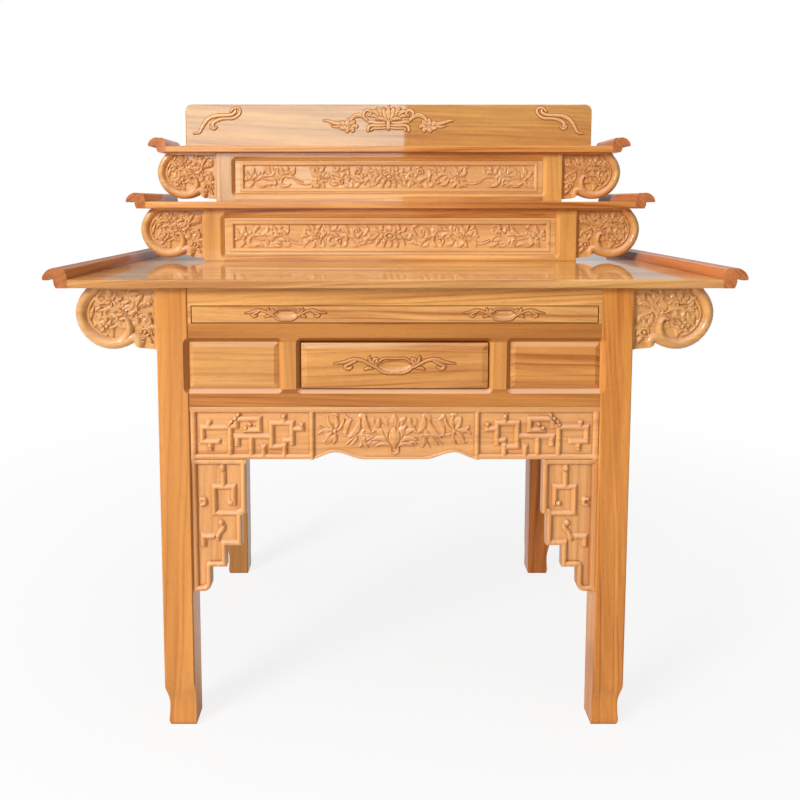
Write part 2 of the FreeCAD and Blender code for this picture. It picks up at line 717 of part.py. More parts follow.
def add_drawer():
    half = drawer_half - slide_gap
    low = panel_row_bottom + slide_gap
    high = panel_row_top - slide_gap
    side_outer = half - drawer_side_inset
    side_inner = side_outer - drawer_side_thickness
    side_low = low + drawer_side_rise
    side_high = panel_row_top - drawer_side_drop
    side_back = slide_back + drawer_side_length
    back_front = pin_y + dowel_radius + drawer_travel + pin_slot_gap
    back_rear = back_front + drawer_back_thickness
    bottom_low = side_low + drawer_bottom_rise
    bottom_high = bottom_low + drawer_bottom_thickness

    side_end = (side_inner, side_outer, slide_back - drawer_front_dado, slide_back, side_low, side_high)
    bottom = (-side_inner - drawer_dado, side_inner + drawer_dado, slide_back - drawer_dado, back_rear,
              bottom_low, bottom_high)
    back = (-side_inner - drawer_dado, side_inner + drawer_dado, back_front, back_rear, bottom_high, high)

    bevel_back = slide_front + drawer_bevel_depth
    face = sloped_block(-half, half, low, high, slide_front, bevel_back, drawer_bevel)
    body = block(-half, half, bevel_back, slide_back, low, high)
    end_dado = grown(side_end, fit_gap)
    pull = pull_pocket(0, (low + high) / 2, drawer_pull_width, drawer_pull_height)
    front = face.fuse(body).removeSplitter()
    nodes["drawer_front"] = front.cut([pull, end_dado, mirrored(end_dado), grown(bottom, fit_gap)])
    side = block(side_inner, side_outer, slide_back, side_back, side_low, side_high)
    side = side.fuse(block(*side_end)).removeSplitter().cut([grown(bottom, fit_gap), grown(back, fit_gap)])
    nodes["drawer_sides"] = Part.makeCompound([mirrored(side), side])
    nodes["drawer_bottom"] = block(*bottom)
    nodes["drawer_back"] = block(*back)


def add_tier(name, base, front, height, bottom_rail, top_rail, border):
    """Adds a tier's posts, rails, panel, sides and wings, and returns its dowel holes below and above."""
    top = base + height
    back = front + post_depth
    opening_low = base + bottom_rail
    opening_high = top - top_rail
    cutter = flare(-post_inner, post_inner, opening_low, opening_high, front, tier_flare, tier_flare_depth)

    panel_face = front + tier_panel_setback
    tongue_y = panel_face + (tier_panel_thickness - tongue_thickness) / 2
    tongue = (-post_inner - groove_depth, post_inner + groove_depth, tongue_y, tongue_y + tongue_thickness,
              opening_low - groove_depth, opening_high + groove_depth)
    body = block(-post_inner + fit_gap, post_inner - fit_gap, panel_face, panel_face + tier_panel_thickness,
                 opening_low + fit_gap, opening_high - fit_gap)
    field = sloped_block(-post_inner + tier_panel_border, post_inner - tier_panel_border,
                         opening_low + border, opening_high - border,
                         panel_face + tier_field_recess, panel_face, tier_field_slope)
    nodes[name + "_tier_panel"] = body.fuse(block(*tongue)).removeSplitter().cut(field)
    groove = grown(tongue, fit_gap)

    mortises = []
    for rail, z0, z1 in (("bottom", base, opening_low), ("top", opening_high, top)):
        tenon = end_tenon(post_inner, post_inner + tenon_length, front, tier_rail_thickness,
                          z0, z1, tier_tenon_shoulder)
        right = block(*tenon)
        piece = block(-post_inner, post_inner, front, front + tier_rail_thickness, z0, z1)
        nodes["%s_tier_%s_rail" % (name, rail)] = piece.fuse([right, mirrored(right)]).cut([cutter, groove])
        mortises.append(grown(tenon, fit_gap))

    side_x1 = post_outer - tier_side_inset
    side_x0 = side_x1 - tier_side_thickness
    side_x = (side_x0 + side_x1) / 2
    side_tongue = (side_x - tongue_thickness / 2, side_x + tongue_thickness / 2, back - groove_depth, back,
                   base + tier_tenon_shoulder, top - tier_tenon_shoulder)
    seats = [(front + back) / 2, back + side_dowel_inset, frame_back - side_dowel_inset]
    low_holes = []
    high_holes = []
    for y in seats:
        low_holes.append(add_dowel(V(side_x, y, base), V(0, 0, -1), dowel_in_board))
        high_holes.append(add_dowel(V(side_x, y, top), V(0, 0, 1), dowel_in_board))
    dowels.extend([mirrored(dowel) for dowel in dowels[-2 * len(seats):]])

    wing_holes = add_wing(name + "_%s_wing", post_outer, front, top)
    post = eased(block(post_inner, post_outer, front, back, base, top), post_round,
                 lambda edge: runs_along(edge, V(0, 0, 1)) and edge.CenterOfMass.x > post_outer - post_round)
    post_cuts = mortises + wing_holes + low_holes + high_holes
    add_pair(name + "_tier_%s_post", post.cut(post_cuts + [cutter, groove, grown(side_tongue, fit_gap)]))
    side = block(side_x0, side_x1, back, frame_back, base, top).fuse(block(*side_tongue)).removeSplitter()
    side = side.cut(low_holes + high_holes)
    nodes[name + "_tier_sides"] = Part.makeCompound([mirrored(side), side])
    return both_sides(low_holes), both_sides(high_holes)


def add_back_board():
    """Adds the back board and returns its dowel holes in the upper shelf."""
    y1 = board_back - back_board_inset
    y0 = y1 - back_board_thickness
    half = upper_shelf_width / 2 - back_board_end_inset
    top = upper_shelf_top + back_board_height
    points = [
        (-half, upper_shelf_top, 0), (half, upper_shelf_top, 0),
        (half, top - back_board_corner, -quarter_bow), (half - back_board_corner, top, 0),
        (-half + back_board_corner, top, -quarter_bow), (-half, top - back_board_corner, 0),
    ]
    foot = upper_shelf_top + back_board_round
    board = eased(bowed_plate(points, y0, y1), back_board_round,
                  lambda edge: not runs_along(edge, V(0, 1, 0)) and edge.CenterOfMass.z > foot)
    holes = []
    for x in back_board_dowel_positions:
        holes.append(add_dowel(V(x, (y0 + y1) / 2, upper_shelf_top), V(0, 0, -1), dowel_in_board))
    dowels.extend([mirrored(dowel) for dowel in dowels[-len(holes):]])
    holes = both_sides(holes)
    nodes["back_board"] = board.cut(holes)
    return holes


# Leg frame
front_runner_mortises, back_runner_mortises = add_drawer_runners()
front_leg_cuts = add_front(front_runner_mortises)
side_front_cuts, back_leg_cuts = add_sides_and_back(back_runner_mortises)
main_wing_holes = add_wing("main_%s_wing", leg_outer, frame_front, frame_top)
add_pair("front_%s_leg", corner_leg(True, front_leg_cuts + side_front_cuts + main_wing_holes))
add_pair("back_%s_leg", corner_leg(False, back_leg_cuts))
add_pull_out_shelf()
add_drawer()

# Tiers, with the boards that they stand on and carry
lower_under, lower_over = add_tier("lower", top_height, lower_tier_front, lower_tier_height,
                                   lower_tier_bottom_rail, lower_tier_top_rail, lower_panel_border)
upper_under, upper_over = add_tier("upper", lower_shelf_top, upper_tier_front, upper_tier_height,
                                   upper_tier_bottom_rail, upper_tier_top_rail, upper_panel_border)
board_holes = add_back_board()
peg_holes = [grown(leg_peg(frame_front), fit_gap), grown(leg_peg(frame_back - leg_side), fit_gap)]
add_board("main_top", top_width, board_front, top_height, both_sides(peg_holes) + lower_under)
add_board("lower_shelf", lower_shelf_width, lower_tier_front - shelf_overhang, lower_shelf_top,
          lower_over + upper_under)
add_board("upper_shelf", upper_shelf_width, upper_tier_front - shelf_overhang, upper_shelf_top,
          upper_over + board_holes)
nodes["dowels"] = Part.makeCompound(dowels)

os.makedirs("parts", exist_ok=True)
for node_name, node_shape in nodes.items():
    node_shape.exportStep("parts/%s.step" % node_name)
    print(node_name, len(node_shape.Solids), node_shape.isValid(), round(node_shape.Volume / 1000, 1))
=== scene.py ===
import json
import math

import bpy
import numpy as np
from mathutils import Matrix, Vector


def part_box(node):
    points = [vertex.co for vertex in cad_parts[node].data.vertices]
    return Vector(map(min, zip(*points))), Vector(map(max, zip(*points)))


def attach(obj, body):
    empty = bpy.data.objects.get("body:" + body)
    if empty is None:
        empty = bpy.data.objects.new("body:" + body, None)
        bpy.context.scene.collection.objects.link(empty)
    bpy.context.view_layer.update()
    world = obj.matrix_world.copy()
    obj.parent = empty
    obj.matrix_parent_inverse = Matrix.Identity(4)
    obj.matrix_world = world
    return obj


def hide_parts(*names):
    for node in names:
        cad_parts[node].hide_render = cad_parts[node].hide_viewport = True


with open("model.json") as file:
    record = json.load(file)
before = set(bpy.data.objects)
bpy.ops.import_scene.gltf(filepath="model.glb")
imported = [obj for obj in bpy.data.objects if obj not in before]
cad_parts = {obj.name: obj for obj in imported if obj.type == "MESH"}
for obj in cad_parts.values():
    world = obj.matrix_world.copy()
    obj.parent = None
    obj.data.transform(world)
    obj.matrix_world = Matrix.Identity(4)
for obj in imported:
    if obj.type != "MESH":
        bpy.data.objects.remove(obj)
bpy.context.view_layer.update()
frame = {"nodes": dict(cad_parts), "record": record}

bl_info = {
    "name": "Tiered Altar Table",
    "version": (1, 0, 0),
    "blender": (4, 5, 0),
    "location": "3D View > Sidebar > Altar Table",
    "description": "Dresses the frame of a tiered altar table with varnished wood and carving",
    "category": "Object",
}

MM = 0.001


class AltarWoodSettings(bpy.types.PropertyGroup):
    """Colours and grain of the table's woods."""
    light: bpy.props.FloatVectorProperty(
        name="Pale Grain", description="Colour of the wood between its growth rings",
        subtype="COLOR", size=3, min=0, max=1, default=(0.885, 0.41, 0.106))
    dark: bpy.props.FloatVectorProperty(
        name="Dark Grain", description="Colour of the growth rings",
        subtype="COLOR", size=3, min=0, max=1, default=(0.43, 0.125, 0.020))
    rim_light: bpy.props.FloatVectorProperty(
        name="Pale Rim", description="Colour of the board ends between their growth rings",
        subtype="COLOR", size=3, min=0, max=1, default=(0.66, 0.225, 0.070))
    rim_dark: bpy.props.FloatVectorProperty(
        name="Dark Rim", description="Colour of the growth rings of the board ends",
        subtype="COLOR", size=3, min=0, max=1, default=(0.34, 0.09, 0.024))
    inner_light: bpy.props.FloatVectorProperty(
        name="Pale Inside", description="Colour of the bare wood of the drawer and the runners",
        subtype="COLOR", size=3, min=0, max=1, default=(0.72, 0.47, 0.25))
    inner_dark: bpy.props.FloatVectorProperty(
        name="Dark Inside", description="Colour of the growth rings of the bare wood",
        subtype="COLOR", size=3, min=0, max=1, default=(0.55, 0.32, 0.15))
    # Painted shade: colour of the carving's hollows and of the boards' corners and shaded edges
    hollow: bpy.props.FloatVectorProperty(
        name="Hollows", description="Colour of the varnish that gathers in the carving's hollows",
        subtype="COLOR", size=3, min=0, max=1, default=(0.33, 0.10, 0.018))
    ring_spacing: bpy.props.FloatProperty(
        name="Ring Spacing", description="Distance between growth rings",
        subtype="DISTANCE", unit="LENGTH", min=0.002, default=0.015)


class AltarCarvingSettings(bpy.types.PropertyGroup):
    """Depths of the carving, from its ground to its highest forms."""
    grid_step: bpy.props.FloatProperty(
        name="Carving Step", description="Distance between the points of a carved face",
        subtype="DISTANCE", unit="LENGTH", min=0.0005, default=0.001)
    bead_depth: bpy.props.FloatProperty(
        name="Bead Depth", description="Height of the beads round the apron and the brackets",
        subtype="DISTANCE", unit="LENGTH", min=0.001, default=0.0066)
    fret_depth: bpy.props.FloatProperty(
        name="Fret Depth", description="Height of the fretwork bars",
        subtype="DISTANCE", unit="LENGTH", min=0.001, default=0.0064)
    lotus_depth: bpy.props.FloatProperty(
        name="Lotus Depth", description="Height of the apron's flowers",
        subtype="DISTANCE", unit="LENGTH", min=0.001, default=0.0042)
    wing_depth: bpy.props.FloatProperty(
        name="Wing Depth", description="Height of the wings' rolled rims",
        subtype="DISTANCE", unit="LENGTH", min=0.001, default=0.008)
    tier_depth: bpy.props.FloatProperty(
        name="Tier Depth", description="Height of the flowers on the tier panels",
        subtype="DISTANCE", unit="LENGTH", min=0.001, default=0.0042)
    board_depth: bpy.props.FloatProperty(
        name="Board Depth", description="Height of the sprays on the back board",
        subtype="DISTANCE", unit="LENGTH", min=0.001, default=0.0026)
    pull_depth: bpy.props.FloatProperty(
        name="Pull Depth", description="Height of the leaf scrolls round the finger pulls",
        subtype="DISTANCE", unit="LENGTH", min=0.001, default=0.0026)


class AltarStageSettings(bpy.types.PropertyGroup):
    """Camera, floor and lamps of the studio."""
    lens: bpy.props.FloatProperty(
        name="Lens", description="Focal length of the camera", unit="CAMERA", default=34.07)
    camera_place: bpy.props.FloatVectorProperty(
        name="Camera Place", description="Where the camera stands", subtype="XYZ", unit="LENGTH",
        size=3, default=(-0.0381, -1.7035, 1.0033))
    camera_pitch: bpy.props.FloatProperty(
        name="Camera Pitch", description="How far the camera looks down", subtype="ANGLE",
        default=math.radians(4.8))
    camera_shift: bpy.props.FloatVectorProperty(
        name="Camera Shift", description="Place of the picture beside the camera's axis", size=2,
        default=(0.0325, -0.1676))
    floor_colour: bpy.props.FloatVectorProperty(
        name="Floor Colour", description="Colour of the plain floor", subtype="COLOR", size=3,
        min=0, max=1, default=(0.9, 0.9, 0.9))
    window_power: bpy.props.FloatProperty(
        name="Window Lamp", description="Power of the soft lamp in front, seen in the back board",
        subtype="POWER", default=25.0)
    key_power: bpy.props.FloatProperty(
        name="Key Lamp", description="Power of the soft lamp at the upper left",
        subtype="POWER", default=245.0)
    fill_power: bpy.props.FloatProperty(
        name="Fill Lamp", description="Power of the soft lamp at the right", subtype="POWER", default=5.0)
    top_power: bpy.props.FloatProperty(
        name="Top Lamp", description="Power of the soft lamp overhead", subtype="POWER", default=38.0)
    sky: bpy.props.FloatProperty(
        name="Surrounding Light", description="Strength of the even light from all sides",
        min=0, default=0.19)


# Shader node groups and materials

def feed(tree, node, inputs):
    """Feeds a node's inputs with sockets or plain values."""
    for name, value in inputs.items():
        if isinstance(value, bpy.types.NodeSocket):
            tree.links.new(value, node.inputs[name])
        else:
            node.inputs[name].default_value = value


def add_node(tree, kind, inputs=None, **options):
    """Adds a shader node, sets its options and feeds its inputs."""
    node = tree.nodes.new("ShaderNode" + kind)
    for name, value in options.items():
        setattr(node, name, value)
    feed(tree, node, inputs or {})
    return node


def maths(tree, operation, first, second=0.0):
    return add_node(tree, "Math", {0: first, 1: second}, operation=operation).outputs[0]


def remapped(tree, value, low, high, new_low=0.0, new_high=1.0):
    """Value moved from one range to another and held inside it."""
    return add_node(tree, "MapRange", {
        "Value": value, "From Min": low, "From Max": high, "To Min": new_low, "To Max": new_high}).outputs[0]


def mixed_colour(tree, share, first, second):
    """Colour that goes from the first to the second as the share goes from 0 to 1."""
    ends = [end if isinstance(end, bpy.types.NodeSocket) else (*end, 1.0) for end in (first, second)]
    return add_node(tree, "Mix", {"Factor": share, 6: ends[0], 7: ends[1]}, data_type="RGBA").outputs[2]


def grain_noise(tree, vector, along, across, detail, roughness=0.5):
    """Noise that changes at one pace along the grain, which runs along X, and at another across it."""
    paced = add_node(tree, "VectorMath", {0: vector, 1: (along, across, across)}, operation="MULTIPLY")
    return add_node(tree, "TexNoise", {
        "Vector": paced.outputs[0], "Scale": 1.0, "Detail": detail, "Roughness": roughness}).outputs[0]


def facing(tree):
    """X, Y and Z of the way that the surface faces."""
    surface = add_node(tree, "NewGeometry")
    return add_node(tree, "SeparateXYZ", {0: surface.outputs["Normal"]}).outputs


def new_group(name, inputs, outputs):
    """Shader node group with its inner ends; its sockets hold numbers, apart from one called Vector."""
    group = bpy.data.node_groups.new(name, "ShaderNodeTree")
    for socket in inputs:
        kind = "NodeSocketVector" if socket == "Vector" else "NodeSocketFloat"
        group.interface.new_socket(socket, in_out="INPUT", socket_type=kind)
    for socket in outputs:
        group.interface.new_socket(socket, in_out="OUTPUT", socket_type="NodeSocketFloat")
    return group, group.nodes.new("NodeGroupInput").outputs, group.nodes.new("NodeGroupOutput").inputs


def placed_group(tree, name, inputs):
    """Outputs of a node group that is placed in a material with its own values."""
    return add_node(tree, "Group", inputs, node_tree=bpy.data.node_groups[name]).outputs


# Layers of the grain: pace along and across it, detail, roughness, and the range of the noise that shows
GRAIN_LAYERS = {
    "Bands": (1.7, 44.0, 3.0, 0.55, 0.34, 0.66),
    "Streaks": (3.0, 170.0, 3.0, 0.6, 0.32, 0.68),
    "Fibres": (20.0, 800.0, 2.0, 0.5, 0.3, 0.7),
    "Pores": (55.0, 1300.0, 1.0, 0.5, 0.62, 0.72),
    "Drift": (0.9, 4.5, 2.0, 0.5, 0.3, 0.7),
}
# Darkness of the wood through a year's ring
YEAR = ((0.0, 0.18), (0.3, 0.03), (0.62, 0.32), (0.86, 1.0), (0.95, 0.6), (1.0, 0.18))
# Pace at which good and bad years change along the radius, and how many rings they shift
YEARS_PACE, YEARS_SHIFT = 38.0, 2.4
# Share of its darkness that a ring keeps where it is faintest
FAINTEST = 0.12


def wood_figure_group():
    """Growth rings, streaks, fibres and pores of wood whose grain runs along X."""
    group, given, put = new_group(
        "wood_figure", ["Vector", "Ring Spacing", "Wander"], ["Rings", *GRAIN_LAYERS])
    vector = given["Vector"]
    section = add_node(group, "VectorMath", {0: vector, 1: (0.0, 1.0, 1.0)}, operation="MULTIPLY")
    length = add_node(group, "VectorMath", {0: section.outputs[0]}, operation="LENGTH")
    wander = maths(group, "SUBTRACT", grain_noise(group, vector, 1.2, 6.0, 2.0), 0.5)
    radius = maths(group, "ADD", length.outputs["Value"], maths(group, "MULTIPLY", wander, given["Wander"]))
    pace = maths(group, "MULTIPLY", radius, YEARS_PACE)
    good_years = add_node(group, "TexNoise", {"W": pace, "Scale": 1.0, "Detail": 2.0}, noise_dimensions="1D")
    uneven = maths(group, "MULTIPLY", maths(group, "SUBTRACT", good_years.outputs[0], 0.5), YEARS_SHIFT)
    years = maths(group, "ADD", maths(group, "DIVIDE", radius, given["Ring Spacing"]), uneven)
    ring = add_node(group, "FloatCurve", {"Value": maths(group, "FRACT", years)})
    curve = ring.mapping.curves[0]
    curve.points[0].location, curve.points[1].location = YEAR[0], YEAR[-1]
    for place, darkness in YEAR[1:-1]:
        curve.points.new(place, darkness)
    ring.mapping.update()
    faint = remapped(group, grain_noise(group, vector, 1.6, 26.0, 2.0), 0.36, 0.64, FAINTEST, 1.0)
    group.links.new(maths(group, "MULTIPLY", ring.outputs[0], faint), put["Rings"])
    for name, (along, across, detail, roughness, low, high) in GRAIN_LAYERS.items():
        layer = grain_noise(group, vector, along, across, detail, roughness)
        group.links.new(remapped(group, layer, low, high), put[name])


def painted_top_light_group():
    """Share of painted highlight on mouldings and carving that slope up, paler as if lit from above."""
    group, given, put = new_group("edge_wear", ["Most"], ["Share"])
    up = facing(group)["Z"]
    sloped = remapped(group, up, 0.2, 0.5)
    level = remapped(group, up, 0.8, 0.95, given["Most"], 0.0)
    group.links.new(maths(group, "MULTIPLY", sloped, level), put["Share"])


def painted_side_shade_group():
    """Share of painted shade on mouldings of the front that slope down or face right, away from the light."""
    group, given, put = new_group("edge_stain", ["Most"], ["Share"])
    way = facing(group)
    down = remapped(group, way["Z"], -0.6, -0.25, given["Most"], 0.0)
    right = remapped(group, way["X"], 0.25, 0.6, 0.0, given["Most"])
    front = remapped(group, way["Y"], -0.5, -0.2, 1.0, 0.0)
    group.links.new(maths(group, "MULTIPLY", maths(group, "MAXIMUM", down, right), front), put["Share"])


def painted_corner_shade_group():
    """Share of painted shade where boards meet and along the feet of mouldings, darkest where they are most
    enclosed.
    """
    group, given, put = new_group("corner_varnish", ["Reach", "Most"], ["Share"])
    corner = add_node(group, "AmbientOcclusion", {"Distance": given["Reach"]}, samples=6)
    group.links.new(remapped(group, corner.outputs["AO"], 0.25, 0.8, given["Most"], 0.0), put["Share"])


SLOTS = {row["node"]: row["material_slot"] for row in frame["record"]["subparts"]}
GRAIN_TURNS = {"X": (0.0, 0.0, 0.0), "Y": (0.0, 0.0, math.pi / 2), "Z": (0.0, math.pi / 2, 0.0)}

# Pairs of pieces that stand apart, with grain from front to back
PAIRS = ("lower_tier_sides", "upper_tier_sides", "drawer_sides", "drawer_runners", "shelf_runners")

# Levels that have a pair of wings
LEVELS = ("main", "lower", "upper")

# Colours of each finish, its coat of varnish, the coat's roughness and the wood's own
FINISHES = {
    "frame_wood": ("light", "dark", 0.4, 0.12, 0.36),
    "top_wood": ("light", "dark", 0.8, 0.05, 0.32),
    "carved_wood": ("light", "dark", 0.6, 0.13, 0.38),
    "rim_wood": ("rim_light", "rim_dark", 0.45, 0.08, 0.34),
    "inner_wood": ("inner_light", "inner_dark", 0.0, 0.3, 0.62),
}

# Boards that were cut from darker or paler wood than the rest, and the back legs and the right front leg
# darkened as painted shade: shares of red, green and blue
BOARD_TONES_AND_SHADE = {
    "main_top_left_rim": (0.84, 0.84, 0.88), "back_board": (0.8, 0.9, 1.0),
    "front_middle_rail": (0.65, 0.55, 0.44), "front_lower_rail": (0.74, 0.63, 0.5),
    "front_left_panel": (0.93, 1.0, 1.14), "drawer_front": (0.96, 1.0, 1.06),
    "front_top_rail": (1.03, 1.14, 1.3), "pull_out_shelf_front": (1.12, 1.3, 1.7),
    "main_top_board": (0.96, 1.11, 1.5), "front_apron": (1.16, 1.32, 1.9),
    "left_bracket": (1.16, 1.34, 1.95), "right_bracket": (1.14, 1.28, 1.8),
    "lower_tier_panel": (1.2, 1.6, 2.6), "upper_tier_panel": (1.16, 1.55, 2.5),
    "lower_tier_top_rail": (1.08, 1.28, 1.5), "lower_tier_bottom_rail": (1.06, 1.2, 1.35),
    "upper_tier_top_rail": (1.06, 1.24, 1.4), "upper_tier_bottom_rail": (1.04, 1.16, 1.3),
    "lower_tier_left_post": (1.06, 1.26, 1.4), "lower_tier_right_post": (1.1, 1.3, 1.4),
    "upper_tier_left_post": (0.95, 1.12, 1.1), "upper_tier_right_post": (1.12, 1.34, 1.5),
    "front_left_stile": (0.86, 0.84, 0.86),
    "front_left_leg": (1.0, 0.96, 0.87), "front_right_leg": (0.98, 0.87, 0.68),
    "back_left_leg": (0.59, 0.57, 0.52), "back_right_leg": (0.9, 0.64, 0.34),
}
BOARD_TONES_AND_SHADE |= {level + "_left_wing": (1.05, 1.28, 1.8) for level in LEVELS}
BOARD_TONES_AND_SHADE |= {level + "_right_wing": (1.05, 1.24, 1.6) for level in LEVELS}

# Carving painted paler and pinker than the board that it stands on: a painted sheen like the board's gloss
CARVED_SHEEN_TONES = {"back_board": (1.08, 1.5, 2.7)}

# Boards with a polish of their own: coat of varnish and its roughness
POLISHES = {
    "back_board": (1.0, 0.03), "upper_tier_left_post": (0.75, 0.05), "upper_tier_panel": (0.6, 0.06),
    "upper_tier_top_rail": (0.6, 0.05), "upper_tier_bottom_rail": (0.6, 0.05),
    "upper_shelf_board": (0.5, 0.05),
}

# Pieces of the front whose bevels or moulded edges get a painted highlight where they slope up, and the pale
# colour of that painted highlight there and on the carving
MOULDED = ("front_lower_rail", "front_left_panel", "front_right_panel", "drawer_front")
TOP_LIGHT_COLOUR = (0.88, 0.51, 0.29)
MOULDED_TOP_LIGHT = 0.75
CARVED_TOP_LIGHT = 0.7

# Share of painted shade on the edges of the front that slope down or face right
SIDE_SHADED = {
    "front_left_leg": 0.5, "front_left_stile": 0.5, "front_right_stile": 0.5, "front_middle_rail": 0.55,
    "front_left_panel": 0.25, "front_right_panel": 0.25, "drawer_front": 0.25,
}
# The painted shade of these edges and of the corners is this much of the colour of the carving's painted
# shade
SHADE_TONE = (0.8, 0.62, 0.4)
# Reach and darkness of the painted shade in corners, from ambient occlusion
CORNER_REACH = 0.007
CORNER_DARK = 0.95

# Layers that darken the wood, what they come to on average, and how dark the average is
GRAIN_WEIGHTS = (("Rings", 0.5), ("Bands", 0.5), ("Streaks", 0.24), ("Drift", 0.4), ("Fibres", 0.08))
GRAIN_AVERAGE = 0.71
AVERAGE_DARK = 0.43
RING_WANDER = 0.05
PORE_SHARE, PORE_DARK = 0.3, 0.55
# Depth of the fibres, how strongly it shows, and how far they change the roughness
FIBRE_DEPTH, FIBRE_RELIEF = 0.0004, 0.12
FIBRE_SMOOTHER, FIBRE_ROUGHER = 0.05, 0.07
# Shine of varnished and of bare wood under its coat
VARNISHED_SHINE, BARE_SHINE = 0.12, 0.4
# Share of the coat that is left in the hollows of carving
HOLLOW_COAT = 0.25

# Boards of quiet grain: share of the usual figure
QUIET_GRAIN = {
    "front_left_leg": 0.5, "front_right_leg": 0.8, "front_left_panel": 0.8, "back_board": 0.7,
    "front_left_stile": 0.5, "front_right_stile": 0.5, "lower_tier_panel": 0.4, "upper_tier_panel": 0.4,
    "lower_tier_left_post": 0.6, "lower_tier_right_post": 0.4, "upper_tier_right_post": 0.4,
}
CARVED_GRAIN = 0.45


def toned(colour, tone):
    return [part * share for part, share in zip(colour, tone)]


def grain_axis(node):
    """Axis that a piece's grain runs along: its longest side, or from front to back in a pair."""
    if node in PAIRS:
        return "Y"
    low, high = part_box(node)
    spans = [high[i] - low[i] for i in range(3)]
    return "XYZ"[spans.index(max(spans))]


def place_in_log(tree, node):
    """Coordinates along a piece's grain; uneven steps give each piece its own slant and place in the log."""
    seed = sorted(frame["nodes"]).index(node)
    slant = math.radians((seed * 2.3) % 7.0 - 3.5)
    turn = GRAIN_TURNS[grain_axis(node)]
    return add_node(tree, "Mapping", {
        "Vector": add_node(tree, "TexCoord").outputs["Object"],
        "Rotation": (turn[0], turn[1] + slant, turn[2] + slant * 0.8),
        "Location": (seed * 3.7 % 5.0, 0.21 + seed * 0.137 % 0.33, -0.16 - seed * 0.211 % 0.41),
    }).outputs["Vector"]


def grain_colour(tree, figure, light, dark, strength):
    """Colour of the wood from its pale to its dark grain, with its pores."""
    share = -GRAIN_AVERAGE
    for layer, weight in GRAIN_WEIGHTS:
        share = maths(tree, "ADD", share, maths(tree, "MULTIPLY", figure[layer], weight))
    share = maths(tree, "ADD", maths(tree, "MULTIPLY", share, strength), AVERAGE_DARK)
    colour = mixed_colour(tree, share, light, dark)
    pores = maths(tree, "MULTIPLY", figure["Pores"], PORE_SHARE)
    return mixed_colour(tree, pores, colour, [part * PORE_DARK for part in dark])


def top_lit_colour(tree, colour, most):
    """Colour with the painted highlight of faces that slope up."""
    top_lit = placed_group(tree, "edge_wear", {"Most": most})["Share"]
    return mixed_colour(tree, top_lit, colour, TOP_LIGHT_COLOUR)


def board_colour(tree, node, colour, shade_colour):
    """Colour of a board with a painted highlight on edges that slope up, painted shade on edges that slope
    down or face right, and painted shade in its corners.
    """
    if node in MOULDED:
        colour = top_lit_colour(tree, colour, MOULDED_TOP_LIGHT)
    if node in SIDE_SHADED:
        side_shaded = placed_group(tree, "edge_stain", {"Most": SIDE_SHADED[node]})["Share"]
        colour = mixed_colour(tree, side_shaded, colour, shade_colour)
    corner = placed_group(tree, "corner_varnish", {"Reach": CORNER_REACH, "Most": CORNER_DARK})["Share"]
    return mixed_colour(tree, corner, colour, shade_colour)


def wood_material(node, carved=False):
    """Varnished or bare wood of one piece, with its own cut of grain; carving has painted shade in its
    hollows and a painted highlight where it slopes up.
    """
    settings = bpy.context.scene.altar_wood
    slot = SLOTS[node]
    light_name, dark_name, coat, coat_roughness, roughness = FINISHES[slot]
    tone = BOARD_TONES_AND_SHADE.get(node, (1.0, 1.0, 1.0))
    if carved:
        tone = CARVED_SHEEN_TONES.get(node, tone)
    else:
        coat, coat_roughness = POLISHES.get(node, (coat, coat_roughness))
    light, dark = toned(getattr(settings, light_name), tone), toned(getattr(settings, dark_name), tone)
    material = bpy.data.materials.new(("carving" if carved else slot) + "_" + node)
    material.use_nodes = True
    tree = material.node_tree

    figure = placed_group(tree, "wood_figure", {
        "Vector": place_in_log(tree, node), "Ring Spacing": settings.ring_spacing, "Wander": RING_WANDER})
    strength = CARVED_GRAIN if carved else QUIET_GRAIN.get(node, 1.0)
    colour = grain_colour(tree, figure, light, dark, strength)
    if carved:
        # Carving: painted shade in its hollows, painted highlight where it slopes up
        hollow = add_node(tree, "Attribute", attribute_name="hollow").outputs["Fac"]
        colour = mixed_colour(tree, hollow, top_lit_colour(tree, colour, CARVED_TOP_LIGHT), settings.hollow)
        coat_weight = remapped(tree, hollow, 0.0, 1.0, coat, coat * HOLLOW_COAT)
    else:
        colour = board_colour(tree, node, colour, toned(settings.hollow, SHADE_TONE))
        coat_weight = coat
    depth = maths(tree, "SUBTRACT", figure["Fibres"], figure["Pores"])
    bump = add_node(tree, "Bump", {"Strength": FIBRE_RELIEF, "Distance": FIBRE_DEPTH, "Height": depth})
    rough = remapped(tree, figure["Fibres"], 0.0, 1.0, roughness - FIBRE_SMOOTHER, roughness + FIBRE_ROUGHER)
    feed(tree, tree.nodes["Principled BSDF"], {
        "Base Color": colour, "Roughness": rough, "Normal": bump.outputs["Normal"], "IOR": 1.5,
        "Specular IOR Level": VARNISHED_SHINE if coat else BARE_SHINE,
        "Coat Weight": coat_weight, "Coat Roughness": coat_roughness,
    })
    return material


def dress(piece, material):
    piece.data.materials.clear()
    piece.data.materials.append(material)


class ALTAR_OT_finish_wood(bpy.types.Operator):
    """Gives every wooden piece of the frame its own cut of varnished or bare wood"""
    bl_idname = "altar.finish_wood"
    bl_label = "Finish the Wood"

    def execute(self, context):
        for build_group in (wood_figure_group, painted_top_light_group, painted_side_shade_group, painted_corner_shade_group):
            build_group()
        for node, piece in frame["nodes"].items():
            dress(piece, wood_material(node))
        return {"FINISHED"}


# Carving: heights worked out over a field, then pressed into a grid

# Millimetres between the heights of a carved field
RELIEF_STEP = 0.5
# Fine line cut round a form: its place and width, as shares of the form's half width
LINE_PLACE, LINE_WIDTH = 1.13, 0.13
